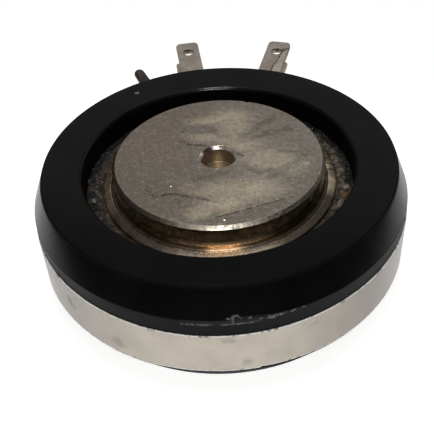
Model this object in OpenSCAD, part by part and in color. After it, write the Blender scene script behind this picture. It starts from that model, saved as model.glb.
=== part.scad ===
// Disc thyristor: a pressed silicon stack between two pole pieces in a moulded ring housing.
// Units are millimetres. The anode contact face lies on z = 0 and +Z points to the cathode face.
// The two terminal tabs point along +Y, one on each side of it.

/* [Contact stack] */
// Height from the anode contact face to the cathode contact face
stack_h = 14; // [12.6:0.1:16]
// Diameter of both pole pieces at their contact faces
contact_d = 23.2; // [20.8:0.1:26]
// Chamfer around each contact face
contact_edge = 0.35; // [0.1:0.05:0.8]
// How far the silicon stack's upper face lies above the middle of the disc
stack_rise = 0.8; // [0.6:0.05:1]
// Width of the shoulder that carries the sheet flange
shoulder_w = 0.6; // [0.4:0.05:1]
// Diameter of the centring hole in each contact face
centre_hole_d = 3.5; // [2.5:0.1:4]
// Depth of the centring hole
centre_hole_depth = 2; // [1.5:0.1:2.3]
// Chamfer at the mouth of the centring hole
centre_hole_edge = 0.3; // [0.1:0.05:0.5]

/* [Housing] */
// Outer diameter of the moulded ring
housing_d = 41; // [39.6:0.1:46]
// Width of the groove between a pole piece and the wall of its opening
groove_w = 3.1; // [2.9:0.05:3.6]
// Width of the ledge inside each opening, which carries the flange
ledge_w = 1.1; // [0.9:0.05:1.4]
// How far the contact faces stand proud of the ring
setback = 0.15; // [0.05:0.05:0.5]
// Height of the bevel around the cathode side
upper_bevel_h = 3.3; // [2.5:0.1:3.8]
// Height of the bevel around the anode side
lower_bevel_h = 3; // [1.5:0.1:3.5]
// How far the bevel around the cathode side comes in from the outer diameter
upper_bevel_w = 1.3; // [0.6:0.1:2]
// How far the bevel around the anode side comes in from the outer diameter
lower_bevel_w = 2; // [0.6:0.1:2.4]
// Rounding of the opening's edge
opening_edge_r = 0.5; // [0.2:0.05:0.8]
// Rounding of the ring's outer edges
outer_edge_r = 0.2; // [0.1:0.05:0.4]

/* [Sheet flanges and seal] */
// Depth of the flange seat below the contact face
seat_depth = 3.7; // [3.4:0.1:4]
// Thickness of the flange's sheet
sheet_t = 0.4; // [0.25:0.05:0.6]
// Gap between the pole piece and the raised rim of the flange
rim_gap = 0.4; // [0.2:0.05:0.6]
// Width of the raised rim
rim_w = 0.9; // [0.6:0.05:1.1]
// Height of the rim's inner edge above the sheet
rim_h = 0.8; // [0.5:0.05:1.2]
// Drop of the rim's crown from its inner to its outer edge
rim_drop = 0.4; // [0.1:0.05:0.45]
// Height of the sealing bead above the sheet, beside the housing wall
bead_h = 0.32; // [0.15:0.01:0.6]

/* [Silicon and discs] */
// Thickness of the silicon wafer
wafer_t = 0.6; // [0.4:0.05:0.8]
// Width of the bevel ground on the wafer's edge
wafer_bevel_w = 0.5; // [0.2:0.05:0.8]
// Thickness of the molybdenum disc under the wafer
anode_disc_t = 1.7; // [1.2:0.1:2]
// Thickness of the molybdenum disc on top of the wafer
cathode_disc_t = 0.5; // [0.4:0.05:0.8]
// Width of the rubber ring around the wafer's edge
edge_ring_w = 0.7; // [0.4:0.05:1]
// Width of the rubber lip on top of the wafer
edge_lip_w = 0.6; // [0.3:0.05:1]

/* [Gate contact] */
// Diameter of the gate cavity in the cathode pole piece
cavity_d = 5.2; // [4.8:0.1:6]
// Copper left between the gate cavity and the centring hole
web_t = 0.7; // [0.5:0.05:0.9]
// Wall of the insulating cup in the cavity
cup_wall = 0.45; // [0.3:0.05:0.6]
// Thickness of the cup's ceiling
cup_ceiling_t = 0.3; // [0.2:0.05:0.5]
// Diameter of the gate pin
pin_d = 1; // [0.6:0.05:1.4]
// Thickness of the collar on the gate pin
collar_t = 0.7; // [0.6:0.05:0.9]
// Wire diameter of the gate spring
spring_wire_d = 0.26; // [0.18:0.01:0.32]
// Diameter of both inner leads
lead_d = 0.4; // [0.3:0.05:0.5]
// Depth of the leads below the flange seat
lead_drop = 0.8; // [0.75:0.05:1]
// Wall of the sleeve around the gate lead
sleeve_wall = 0.22; // [0.15:0.01:0.3]

/* [Terminals] */
// Width of a terminal tab
tab_w = 3.1; // [2.4:0.1:3.6]
// Thickness of a terminal tab
tab_t = 0.8; // [0.5:0.1:1]
// Length of a tab outside the ring
tab_l = 11.2; // [8:0.1:14]
// Angle between the two tabs, seen from above
tab_spread = 24.3; // [18:0.1:40]
// Upward slope of the tabs outside the ring
tab_tilt = 6; // [0:0.5:10]
// Rounding of the tab's tip corners
tab_corner_r = 0.65; // [0.2:0.05:1.1]
// Diameter of the eye in each tab
tab_eye_d = 1.4; // [1:0.05:1.6]
// Distance from the tab's tip to the centre of its eye
tab_eye_inset = 2.25; // [1.5:0.05:3]
// Width of the low shoulder along the tab's outer side
tab_step_w = 0.45; // [0.2:0.05:0.8]
// Length of that shoulder outside the ring
tab_step_l = 7.2; // [4:0.1:8]
// Share of the ring's wall that lies between the stack bore and the root of a tab
root_share = 0.2; // [0.15:0.01:0.3]

/* [Filler stub] */
// Diameter of the stub where it leaves the ring
stub_d = 1.9; // [1:0.1:2.1]
// Diameter of the stub at its round tip
stub_tip_d = 1.35; // [0.8:0.05:1.6]
// Length of the stub outside the ring
stub_l = 8.4; // [4:0.1:12]
// Depth of the stub in the ring
stub_depth = 3; // [2:0.1:4]
// Angle from +Y to the stub, towards -X
stub_angle = 27; // [24:0.1:60]

/* [Label] */
// Height of the label band
label_h = 5.7; // [4:0.1:7]
// Thickness of the label foil
label_t = 0.12; // [0.05:0.01:0.3]
// Angle that the label covers, centred on -Y
label_span = 210; // [90:1:300]
// Bare margin between the lower bevel and the label
label_margin = 0.1; // [0:0.05:1]

/* [Fits] */
// Clearance around pieces that are moulded or bonded in
fit_gap = 0.02; // [0.01:0.01:0.05]
// Clearance around pieces that are slid in
slip_gap = 0.08; // [0.05:0.01:0.12]

/* [Hidden] */
$fn = 128;

// Radii from the axis outwards
contact_r = contact_d / 2;
shoulder_r = contact_r + shoulder_w;
rim_in_r = contact_r + rim_gap;
rim_out_r = rim_in_r + rim_w;
housing_r = housing_d / 2;
top_face_r = housing_r - upper_bevel_w;
low_face_r = housing_r - lower_bevel_w;
opening_r = contact_r + groove_w;
bore_r = opening_r - ledge_w;
flange_gap = 0.25;
flange_r = opening_r - flange_gap;
seal_gap = 0.12;
seal_in_r = rim_out_r + seal_gap;
edge_ring_r = bore_r - slip_gap;
wafer_r = edge_ring_r - edge_ring_w;
wafer_top_r = wafer_r - wafer_bevel_w;
edge_lip_r = wafer_top_r - edge_lip_w;
disc_gap = 0.4;
cathode_disc_r = edge_lip_r - disc_gap;

// Heights from the anode face upwards
anode_seat_z = seat_depth;
cathode_seat_z = stack_h - seat_depth;
stack_top_z = stack_h / 2 + stack_rise;
cathode_pole_h = stack_h - stack_top_z;
wafer_top_z = stack_top_z - cathode_disc_t;
wafer_z = wafer_top_z - wafer_t;
stack_z = wafer_z - anode_disc_t;
ring_top_z = stack_h - setback;
label_z = setback + lower_bevel_h + label_margin;
lead_z = cathode_seat_z - lead_drop;

// Gate contact in its cavity
cavity_r = cavity_d / 2;
cavity_top_z = stack_h - centre_hole_depth - web_t;
cup_r = cavity_r - slip_gap;
cup_in_r = cup_r - cup_wall;
cup_foot_gap = 0.1;
collar_gap = 0.35;
collar_r = cup_in_r - collar_gap;
collar_top_z = lead_z + collar_t / 2;
collar_low_z = lead_z - collar_t / 2;
pin_tip_edge = 0.15;
guide_h = 0.55;
gate_hole_gap = 0.6;
spring_top_z = cavity_top_z - cup_ceiling_t;
spring_h = spring_top_z - collar_top_z;
spring_r = collar_r - spring_wire_d / 2;
coil_slack = 1.12;
spring_turns = max(1, floor((spring_h - spring_wire_d) / (spring_wire_d * coil_slack)));
spring_steps = 24;
spring_sides = 10;

// Leads from the stack to the tabs
lead_r = lead_d / 2;
lead_socket = 0.8;
sleeve_in_r = lead_r + slip_gap;
sleeve_r = sleeve_in_r + sleeve_wall;
slot_w = 2 * (sleeve_r + slip_gap);
cup_slot_w = 2 * (lead_r + slip_gap);
sleeve_start_r = cavity_r + slip_gap;
sleeve_end_r = bore_r - slip_gap;

// Tabs and stub in the wall of the ring
root_r = bore_r + root_share * (housing_r - bore_r);
tab_tip_r = housing_r + tab_l;
bend_r = housing_r;
tab_rise = tab_l * tan(tab_tilt);
tab_step_t = tab_t / 2;
eye_edge = 0.15;
root_edge = 0.3;
spill = 1;
span = 100;

function unit(v) = v / norm(v);

// Waste at a corner of a section: what lies outside a rounding of radius r
module corner_waste(corner, before, after, r) {
    to_before = unit(before - corner);
    to_after = unit(after - corner);
    half_angle = acos(to_before * to_after) / 2;
    reach = r / tan(half_angle);
    centre = corner + unit(to_before + to_after) * r / sin(half_angle);
    difference() {
        polygon([corner, corner + to_before * reach, centre, corner + to_after * reach]);
        translate(centre) circle(r);
    }
}

// Turns a piece that is drawn for the anode side over to the cathode side
module on_cathode_side() {
    translate([0, 0, stack_h]) mirror([0, 0, 1]) children();
}

// Places what points along +Y at the gate tab's and at the cathode tab's angle
module at_gate() {
    rotate(tab_spread / 2) children();
}

module at_cathode() {
    rotate(-tab_spread / 2) children();
}

// A round bar along +Y at the height of the leads
module bar(r, from_r, to_r) {
    translate([0, from_r, lead_z]) rotate([-90, 0, 0]) cylinder(r = r, h = to_r - from_r);
}

// Section of the ring: bevelled outside, with a ledge in each opening
module housing_section() {
    top_in = [opening_r, ring_top_z];
    top_out = [top_face_r, ring_top_z];
    side_top = [housing_r, ring_top_z - upper_bevel_h];
    side_low = [housing_r, setback + lower_bevel_h];
    low_out = [low_face_r, setback];
    low_in = [opening_r, setback];
    low_seat = [opening_r, anode_seat_z];
    top_seat = [opening_r, cathode_seat_z];
    difference() {
        polygon([
            top_in, top_out, side_top, side_low, low_out, low_in,
            low_seat, [bore_r, anode_seat_z], [bore_r, cathode_seat_z], top_seat
        ]);
        corner_waste(top_in, top_seat, top_out, opening_edge_r);
        corner_waste(low_in, low_out, low_seat, opening_edge_r);
        corner_waste(top_out, top_in, side_top, outer_edge_r);
        corner_waste(side_top, top_out, side_low, outer_edge_r);
        corner_waste(side_low, side_top, low_out, outer_edge_r);
        corner_waste(low_out, side_low, low_in, outer_edge_r);
    }
}

// Pocket in the ring for a tab's root and its lead
module tab_pocket() {
    pocket_w = tab_w + 2 * fit_gap;
    pocket_h = tab_t + 2 * fit_gap;
    translate([-pocket_w / 2, root_r - fit_gap, lead_z - pocket_h / 2])
        cube([pocket_w, housing_r - root_r + spill, pocket_h]);
    bar(lead_r + fit_gap, bore_r - spill, root_r);
}

module housing_ring() {
    color([0.11, 0.105, 0.11])
    difference() {
        rotate_extrude() housing_section();
        at_gate() tab_pocket();
        at_cathode() tab_pocket();
        rotate(stub_angle) bar(stub_d / 2 + fit_gap, housing_r - stub_depth - fit_gap, housing_r + spill);
    }
}

module label_band() {
    color([0.73, 0.7, 0.65])
    rotate(-90 - label_span / 2)
        rotate_extrude(angle = label_span)
            translate([housing_r + fit_gap, label_z]) square([label_t, label_h]);
}

// Turned pole piece, with its contact face on z = 0
module pole_blank(height) {
    difference() {
        rotate_extrude() polygon([
            [0, 0],
            [contact_r - contact_edge, 0],
            [contact_r, contact_edge],
            [contact_r, seat_depth],
            [shoulder_r, seat_depth],
            [shoulder_r, height - root_edge],
            [shoulder_r - root_edge, height],
            [0, height]
        ]);
        translate([0, 0, -spill]) cylinder(d = centre_hole_d, h = centre_hole_depth + spill);
        cylinder(h = centre_hole_edge, r1 = centre_hole_d / 2 + centre_hole_edge, r2 = centre_hole_d / 2);
    }
}

module anode_pole() {
    color([0.5, 0.46, 0.43]) pole_blank(stack_z);
}

module cathode_pole() {
    color([0.5, 0.46, 0.43])
    difference() {
        on_cathode_side() pole_blank(cathode_pole_h);
        translate([0, 0, stack_top_z - spill])
            cylinder(r = cavity_r, h = cavity_top_z - stack_top_z + spill);
        at_gate() {
            bar(slot_w / 2, 0, shoulder_r + spill);
            translate([-slot_w / 2, 0, stack_top_z - spill])
                cube([slot_w, shoulder_r + spill, lead_z - stack_top_z + spill]);
        }
        at_cathode() bar(lead_r + fit_gap, shoulder_r - lead_socket, shoulder_r + spill);
    }
}

// Sheet ring on the anode side: a flat collar with a raised rim close to the pole piece
module flange_ring() {
    sheet_z = seat_depth - sheet_t;
    rim_z = sheet_z - rim_h;
    rim_edge = 0.12;
    rim_round = 0.25;
    out_z = rim_z + rim_drop;
    crown_in = [rim_in_r, rim_z];
    crown_out = [rim_out_r, out_z];
    rotate_extrude() difference() {
        polygon([
            [contact_r + fit_gap, seat_depth],
            [contact_r + fit_gap, sheet_z],
            [rim_in_r, sheet_z],
            crown_in,
            crown_out,
            [rim_out_r, sheet_z],
            [flange_r, sheet_z],
            [flange_r, seat_depth]
        ]);
        corner_waste(crown_in, [rim_in_r, sheet_z], crown_out, rim_edge);
        corner_waste(crown_out, crown_in, [rim_out_r, sheet_z], rim_round);
    }
}

module anode_flange() {
    color([0.52, 0.47, 0.38]) flange_ring();
}

module cathode_flange() {
    color([0.52, 0.47, 0.38]) on_cathode_side() flange_ring();
}

// Bead on the anode side that bonds the flange to the wall and fills the gap round its edge
module seal_ring() {
    sheet_z = seat_depth - sheet_t;
    wall_r = opening_r - fit_gap;
    toe_h = bead_h / 3;
    crown_r = (seal_in_r + wall_r) / 2;
    rotate_extrude() polygon([
        [seal_in_r, sheet_z],
        [seal_in_r, sheet_z - toe_h],
        [crown_r, sheet_z - bead_h],
        [wall_r, sheet_z - bead_h],
        [wall_r, seat_depth],
        [flange_r + fit_gap, seat_depth],
        [flange_r + fit_gap, sheet_z]
    ]);
}

module anode_seal() {
    color([0.3, 0.26, 0.21]) seal_ring();
}

module cathode_seal() {
    color([0.3, 0.26, 0.21]) on_cathode_side() seal_ring();
}

module silicon_wafer() {
    color([0.3, 0.32, 0.37])
    translate([0, 0, wafer_z]) cylinder(r1 = wafer_r, r2 = wafer_top_r, h = wafer_t);
}

module anode_disc() {
    color([0.55, 0.55, 0.57])
    translate([0, 0, stack_z]) cylinder(r = wafer_r, h = anode_disc_t);
}

module cathode_disc() {
    gate_hole_r = pin_d / 2 + gate_hole_gap;
    color([0.6, 0.6, 0.62])
    translate([0, 0, wafer_top_z]) difference() {
        cylinder(r = cathode_disc_r, h = cathode_disc_t);
        translate([0, 0, -spill]) cylinder(r = gate_hole_r, h = cathode_disc_t + 2 * spill);
    }
}

// Rubber ring that covers the wafer's bevel and centres the stack in the bore
module edge_ring() {
    skirt_h = 0.5;
    head_gap = 0.15;
    head_edge = 0.12;
    head_z = stack_top_z - head_gap;
    color([0.45, 0.18, 0.14])
    rotate_extrude() polygon([
        [wafer_r, wafer_z - skirt_h],
        [wafer_r, wafer_z],
        [wafer_top_r, wafer_top_z],
        [edge_lip_r, wafer_top_z],
        [edge_lip_r, head_z - head_edge],
        [edge_lip_r + head_edge, head_z],
        [edge_ring_r - head_edge, head_z],
        [edge_ring_r, head_z - head_edge],
        [edge_ring_r, wafer_z - skirt_h]
    ]);
}

// Insulating cup, open below and slotted for the gate lead
module gate_cup() {
    color([0.93, 0.92, 0.88])
    difference() {
        translate([0, 0, stack_top_z + cup_foot_gap])
            cylinder(r = cup_r, h = cavity_top_z - stack_top_z - cup_foot_gap);
        translate([0, 0, stack_top_z - spill])
            cylinder(r = cup_in_r, h = spring_top_z - stack_top_z + spill);
        at_gate() {
            bar(cup_slot_w / 2, 0, cavity_r + spill);
            translate([-cup_slot_w / 2, 0, stack_top_z - spill])
                cube([cup_slot_w, cavity_r + spill, lead_z - stack_top_z + spill]);
        }
    }
}

// Helical spring, swept along its coil from the collar to the ceiling of the cup
module gate_spring() {
    rings = spring_turns * spring_steps;
    rise = spring_h - spring_wire_d;
    start_z = collar_top_z + spring_wire_d / 2;
    points = [
        for (i = [0 : rings]) for (j = [0 : spring_sides - 1])
            let (turn = 360 * i / spring_steps,
                 around = 360 * j / spring_sides,
                 out = spring_r - spring_wire_d / 2 + spring_wire_d / 2 * cos(around),
                 up = start_z + rise * i / rings + spring_wire_d / 2 * sin(around))
            [out * cos(turn), out * sin(turn), up]
    ];
    sides = [
        for (i = [0 : rings - 1]) for (j = [0 : spring_sides - 1])
            let (a = i * spring_sides + j,
                 b = i * spring_sides + (j + 1) % spring_sides)
            [a, b, b + spring_sides, a + spring_sides]
    ];
    first_end = [for (j = [spring_sides - 1 : -1 : 0]) j];
    last_end = [for (j = [0 : spring_sides - 1]) rings * spring_sides + j];
    color([0.7, 0.7, 0.68])
    polyhedron(points, concat([first_end], sides, [last_end]));
}

module gate_pin() {
    pin_r = pin_d / 2;
    color([0.78, 0.7, 0.45])
    difference() {
        rotate_extrude() polygon([
            [0, wafer_top_z],
            [pin_r - pin_tip_edge, wafer_top_z],
            [pin_r, wafer_top_z + pin_tip_edge],
            [pin_r, collar_low_z],
            [collar_r, collar_low_z],
            [collar_r, collar_top_z],
            [pin_r, collar_top_z],
            [pin_r, collar_top_z + guide_h],
            [0, collar_top_z + guide_h]
        ]);
        at_gate() bar(lead_r + fit_gap, collar_r - lead_socket, collar_r + spill);
    }
}

module gate_lead() {
    color([0.72, 0.42, 0.26])
    at_gate() bar(lead_r, collar_r - lead_socket, root_r);
}

module gate_sleeve() {
    color([0.9, 0.88, 0.8])
    at_gate() difference() {
        bar(sleeve_r, sleeve_start_r, sleeve_end_r);
        bar(sleeve_in_r, sleeve_start_r - spill, sleeve_end_r + spill);
    }
}

module cathode_lead() {
    color([0.72, 0.42, 0.26])
    at_cathode() bar(lead_r, shoulder_r - lead_socket, root_r);
}

// Strip seen from the side: flat in the wall, sloping up outside it, from a low to a high face
module strip(low, high) {
    translate([-span / 2, 0, lead_z]) rotate([90, 0, 90]) linear_extrude(span) polygon([
        [root_r, low],
        [bend_r, low],
        [tab_tip_r, low + tab_rise],
        [tab_tip_r, high + tab_rise],
        [bend_r, high],
        [root_r, high]
    ]);
}

// A tab's outline seen from above, with round corners at its tip
module tab_outline() {
    corner_x = tab_w / 2 - tab_corner_r;
    corner_y = tab_tip_r - tab_corner_r;
    translate([-tab_w / 2, root_r]) square([tab_w, corner_y - root_r]);
    translate([-corner_x, root_r]) square([2 * corner_x, tab_tip_r - root_r]);
    for (side = [-1, 1]) translate([side * corner_x, corner_y]) circle(tab_corner_r);
}

// Outline of the low shoulder, on the tab's outer side, with a round end
module step_outline() {
    from_y = housing_r + slip_gap;
    round_y = housing_r + tab_step_l - tab_step_w;
    translate([-tab_w / 2 - tab_step_w, from_y]) square([tab_step_w + tab_w / 2, round_y - from_y]);
    translate([-tab_w / 2, round_y]) circle(tab_step_w);
}

// Terminal tab along +Y, with its low shoulder on the -X side
module terminal_tab() {
    eye_y = tab_tip_r - tab_eye_inset;
    eye_z = lead_z + (eye_y - bend_r) * tan(tab_tilt);
    eye_r = tab_eye_d / 2;
    difference() {
        union() {
            intersection() {
                strip(-tab_t / 2, tab_t / 2);
                linear_extrude(span) tab_outline();
            }
            intersection() {
                strip(-tab_t / 2, tab_step_t - tab_t / 2);
                linear_extrude(span) step_outline();
            }
        }
        translate([0, eye_y, eye_z]) rotate([tab_tilt, 0, 0]) {
            cylinder(r = eye_r, h = 4 * tab_t, center = true);
            for (side = [0, 1]) mirror([0, 0, side])
                translate([0, 0, tab_t / 2 - eye_edge])
                    cylinder(r1 = eye_r, r2 = eye_r + 2 * eye_edge, h = 2 * eye_edge);
        }
    }
}

module gate_tab() {
    color([0.58, 0.53, 0.47]) at_gate() terminal_tab();
}

module cathode_tab() {
    color([0.58, 0.53, 0.47]) at_cathode() mirror([1, 0, 0]) terminal_tab();
}

// Tapered stub with a round tip, plugged into the wall of the ring
module filler_stub() {
    foot_r = stub_d / 2;
    tip_r = stub_tip_d / 2;
    color([0.17, 0.13, 0.12])
    rotate(stub_angle) translate([0, housing_r, lead_z]) rotate([-90, 0, 0]) {
        translate([0, 0, -stub_depth]) cylinder(r = foot_r, h = stub_depth);
        cylinder(r1 = foot_r, r2 = tip_r, h = stub_l - tip_r);
        translate([0, 0, stub_l - tip_r]) sphere(tip_r);
    }
}

housing_ring();
label_band();
anode_pole();
cathode_pole();
anode_flange();
cathode_flange();
anode_seal();
cathode_seal();
silicon_wafer();
anode_disc();
cathode_disc();
edge_ring();
gate_cup();
gate_spring();
gate_pin();
gate_lead();
gate_sleeve();
cathode_lead();
gate_tab();
cathode_tab();
filler_stub();
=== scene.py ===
"""Looks of a disc thyristor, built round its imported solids.

Pieces are drawn in millimetres in the part's own frame and stored in metres: the anode face lies on
z = 0, +Z points to the cathode face and the two terminal tabs point along +Y. Angles are in degrees,
counted from +X.
"""

import functools
import logging
import math
from collections.abc import Callable, Sequence
from dataclasses import dataclass
from enum import Enum

import bmesh
import bpy
from mathutils import Matrix, Vector, noise
from mathutils.geometry import delaunay_2d_cdt

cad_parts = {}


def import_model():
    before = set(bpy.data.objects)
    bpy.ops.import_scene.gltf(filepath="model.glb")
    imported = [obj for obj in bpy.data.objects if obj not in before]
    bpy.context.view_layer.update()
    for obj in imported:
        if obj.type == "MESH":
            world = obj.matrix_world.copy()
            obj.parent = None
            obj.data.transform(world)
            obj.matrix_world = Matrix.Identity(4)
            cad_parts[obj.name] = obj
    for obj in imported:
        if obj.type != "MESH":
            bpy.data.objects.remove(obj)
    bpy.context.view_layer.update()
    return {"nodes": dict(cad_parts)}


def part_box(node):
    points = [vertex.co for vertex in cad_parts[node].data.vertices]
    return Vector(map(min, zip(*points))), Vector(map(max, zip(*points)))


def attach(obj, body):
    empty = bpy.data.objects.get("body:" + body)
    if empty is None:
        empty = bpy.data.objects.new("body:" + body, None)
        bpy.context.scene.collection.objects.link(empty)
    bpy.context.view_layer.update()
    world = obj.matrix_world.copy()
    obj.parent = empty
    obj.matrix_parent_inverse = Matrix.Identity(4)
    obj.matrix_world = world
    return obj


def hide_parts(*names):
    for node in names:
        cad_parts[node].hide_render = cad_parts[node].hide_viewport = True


LOG = logging.getLogger("disc_thyristor")
MM = 0.001
BODY = "root"
SHARP_DEG = 32.0
MERGE_M = 1e-8
FAR = 1e6
CAMERA_SIDE_DEG = -84.0
OVERCUT = 1.0
FIT_GAP = 0.02
SEAT_DEPTH = 3.7
LEAD_Z = 9.5
LEAD_R = 0.2
ROOT_R = 14.98
TAB_HALF_W = 1.55
TAB_HALF_T = 0.4
TAB_TURN = 12.15

Colour = tuple[float, float, float]
Point = tuple[float, float]
Place = tuple[float, float, float]
Face = tuple[int, ...]
Shift = Callable[[float, float, float], Point]


class Side(Enum):
    """The two contact sides of the disc."""

    ANODE = "anode"
    CATHODE = "cathode"


def smooth(low: float, high: float, value: float) -> float:
    """Goes smoothly from 0 at low to 1 at high, where low may be the larger."""
    share = min(1.0, max(0.0, (value - low) / (high - low)))
    return share * share * (3.0 - 2.0 * share)


def ripple(x: float, y: float = 0.0, z: float = 0.0) -> float:
    """Smooth noise from about -1 to 1 at a point."""
    return noise.noise(Vector((x, y, z)), noise_basis="PERLIN_NEW")


# Shader graphs


class Value:
    """A node's output that adds Math nodes when it is used in an expression."""

    def __init__(self, graph: "Graph", socket: bpy.types.NodeSocket) -> None:
        """Keeps the socket and the graph that new nodes go into."""
        self.graph = graph
        self.socket = socket

    def sibling(self, output: int | str) -> "Value":
        """Another output of the same node."""
        return Value(self.graph, self.socket.node.outputs[output])

    def math(self, operation: str, *others: "Value | float") -> "Value":
        """Adds a Math node of that operation, with this value first."""
        return self.graph.node("ShaderNodeMath", {"operation": operation}, dict(enumerate((self, *others))))

    def __add__(self, other: "Value | float") -> "Value":
        """This value plus another."""
        return self.math("ADD", other)

    __radd__ = __add__

    def __sub__(self, other: "Value | float") -> "Value":
        """This value less another."""
        return self.math("SUBTRACT", other)

    def __rsub__(self, other: float) -> "Value":
        """A number less this value."""
        return self.graph.node("ShaderNodeMath", {"operation": "SUBTRACT"}, {0: other, 1: self})

    def __mul__(self, other: "Value | float") -> "Value":
        """This value times another."""
        return self.math("MULTIPLY", other)

    __rmul__ = __mul__

    def __abs__(self) -> "Value":
        """This value without its sign."""
        return self.math("ABSOLUTE")

    def least(self, other: "Value | float") -> "Value":
        """The smaller of two values."""
        return self.math("MINIMUM", other)

    def most(self, other: "Value | float") -> "Value":
        """The larger of two values."""
        return self.math("MAXIMUM", other)

    def hypot(self, other: "Value") -> "Value":
        """The length of a flat vector of this value and another."""
        return (self * self + other * other).math("SQRT")

    def ramp(self, low: float, high: float) -> "Value":
        """Goes smoothly from 0 at low to 1 at high, where low may be the larger."""
        return self.graph.node(
            "ShaderNodeMapRange",
            {"interpolation_type": "SMOOTHSTEP"},
            {"Value": self, "From Min": low, "From Max": high, "To Min": 0.0, "To Max": 1.0},
        )


class Graph:
    """A node tree that is filled by expressions."""

    def __init__(self, tree: bpy.types.NodeTree) -> None:
        """Empties the tree."""
        self.tree = tree
        self.tree.nodes.clear()

    def node(self, kind: str, settings: dict | None = None, inputs: dict | None = None,
             output: int | str = 0) -> Value | None:
        """Adds a node.

        Args:
            kind: The node's type name.
            settings: The node's own properties, set before its sockets.
            inputs: Numbers, colours or Values for its input sockets, by name or number.
            output: The output that is wanted.

        Returns:
            That output, or None where the node has none.
        """
        node = self.tree.nodes.new(kind)
        for name, setting in (settings or {}).items():
            setattr(node, name, setting)
        for key, given in (inputs or {}).items():
            socket = node.inputs[key]
            for value in given if isinstance(given, list) else [given]:
                if isinstance(value, Value):
                    self.tree.links.new(value.socket, socket)
                elif socket.type == "RGBA":
                    socket.default_value = (*value, 1.0)
                else:
                    socket.default_value = value
        return Value(self, node.outputs[output]) if node.outputs else None

    def position(self) -> Value:
        """The place on the part, in millimetres."""
        place = self.node("ShaderNodeTexCoord", output="Object")
        return self.vector("SCALE", place, Scale=1.0 / MM)

    def split(self, vector: Value) -> tuple[Value, Value, Value]:
        """The three numbers of a vector."""
        x = self.node("ShaderNodeSeparateXYZ", inputs={0: vector})
        return x, x.sibling(1), x.sibling(2)

    def vector(self, operation: str, *operands: "Value | tuple", **named: float) -> Value:
        """Adds a Vector Math node."""
        output = 1 if operation in ("LENGTH", "DISTANCE", "DOT_PRODUCT") else 0
        return self.node("ShaderNodeVectorMath", {"operation": operation},
                         {**dict(enumerate(operands)), **named}, output)

    def noise(self, place: Value, scale: float, detail: float = 3.0, roughness: float = 0.55,
              distortion: float = 0.0) -> Value:
        """Noise from 0 to 1, with its scale in features per millimetre."""
        return self.node("ShaderNodeTexNoise", inputs={
            "Vector": place, "Scale": scale, "Detail": detail, "Roughness": roughness,
            "Distortion": distortion})

    def cells(self, place: Value, scale: float) -> Value:
        """Distance in a Voronoi pattern, with its scale in cells per millimetre."""
        return self.node("ShaderNodeTexVoronoi", inputs={"Vector": place, "Scale": scale})

    def attribute(self, name: str) -> Value:
        """A number that is stored on the mesh."""
        return self.node("ShaderNodeAttribute", {"attribute_name": name}, output="Fac")

    def mix(self, factor: Value | float, first: Value | Colour, second: Value | Colour) -> Value:
        """Mixes two colours."""
        return self.node("ShaderNodeMix", {"data_type": "RGBA"}, {0: factor, 6: first, 7: second}, output=2)

    def coats(self, colour: Value | Colour, *coats: tuple[Value, Colour]) -> Value:
        """Lays colours over a first one in turn, each by its share."""
        for share, tone in coats:
            colour = self.mix(share, colour, tone)
        return colour

    def warp(self, place: Value, scale: float, reach: float) -> Value:
        """Shifts a place by noise, by up to about half of reach in millimetres."""
        cloud = self.noise(place, scale).sibling("Color")
        centred = self.vector("SUBTRACT", cloud, (0.5, 0.5, 0.5))
        return self.vector("ADD", place, self.vector("SCALE", centred, Scale=reach))

    def flat(self, place: Value) -> Value:
        """The place with its height taken out."""
        return self.vector("MULTIPLY", place, (1.0, 1.0, 0.0))

    def facing(self, place: Value, azimuth: float, wide: float, narrow: float) -> Value:
        """1 within the narrow angle of an azimuth about the axis, falling to 0 at the wide one."""
        out = self.vector("NORMALIZE", self.flat(place))
        turn = math.radians(azimuth)
        near = self.vector("DOT_PRODUCT", out, (math.cos(turn), math.sin(turn), 0.0))
        return near.ramp(math.cos(math.radians(wide)), math.cos(math.radians(narrow)))

    def bump(self, height: Value) -> Value:
        """A normal from a height in millimetres."""
        return self.node("ShaderNodeBump", inputs={"Strength": 1.0, "Distance": MM, "Height": height})

    def shade(self, sockets: dict[str, Value | float | Colour]) -> None:
        """Adds the surface shader with these sockets, and the output."""
        surface = self.node("ShaderNodeBsdfPrincipled", inputs=sockets)
        self.node("ShaderNodeOutputMaterial", inputs={"Surface": surface})


# Finishes


class Finish:
    """What all finishes share: a slot name and a material made on demand."""

    slot: str
    made: dict["Finish", bpy.types.Material] = {}

    def paint(self, graph: Graph) -> None:
        """Fills the material's graph."""
        raise NotImplementedError

    def material(self) -> bpy.types.Material:
        """Makes the material, or returns the one made before."""
        if self not in self.made:
            self.made[self] = bpy.data.materials.new(self.slot)
            self.made[self].use_nodes = True
            self.paint(Graph(self.made[self].node_tree))
        return self.made[self]


@dataclass(frozen=True)
class Blot:
    """A soft elliptic blot on a face, in millimetres and degrees."""

    x: float
    y: float
    half_x: float
    half_y: float
    turn: float = 0.0

    def depth(self, graph: Graph, place: Value) -> Value:
        """1 in the blot's middle, 0 on its edge and less outside."""
        local = graph.node("ShaderNodeMapping", {"vector_type": "TEXTURE"}, {
            "Vector": place,
            "Location": (self.x, self.y, 0.0),
            "Rotation": (0.0, 0.0, math.radians(self.turn)),
            "Scale": (self.half_x, self.half_y, FAR),
        })
        return 1.0 - graph.vector("LENGTH", local)

    def lean(self, graph: Graph, place: Value) -> Value:
        """Height of a small facet in the blot's place that leans to the front, in millimetres."""
        _, y, _ = graph.split(place)
        return (y - self.y) * self.depth(graph, place).ramp(0.0, 0.6)


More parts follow.
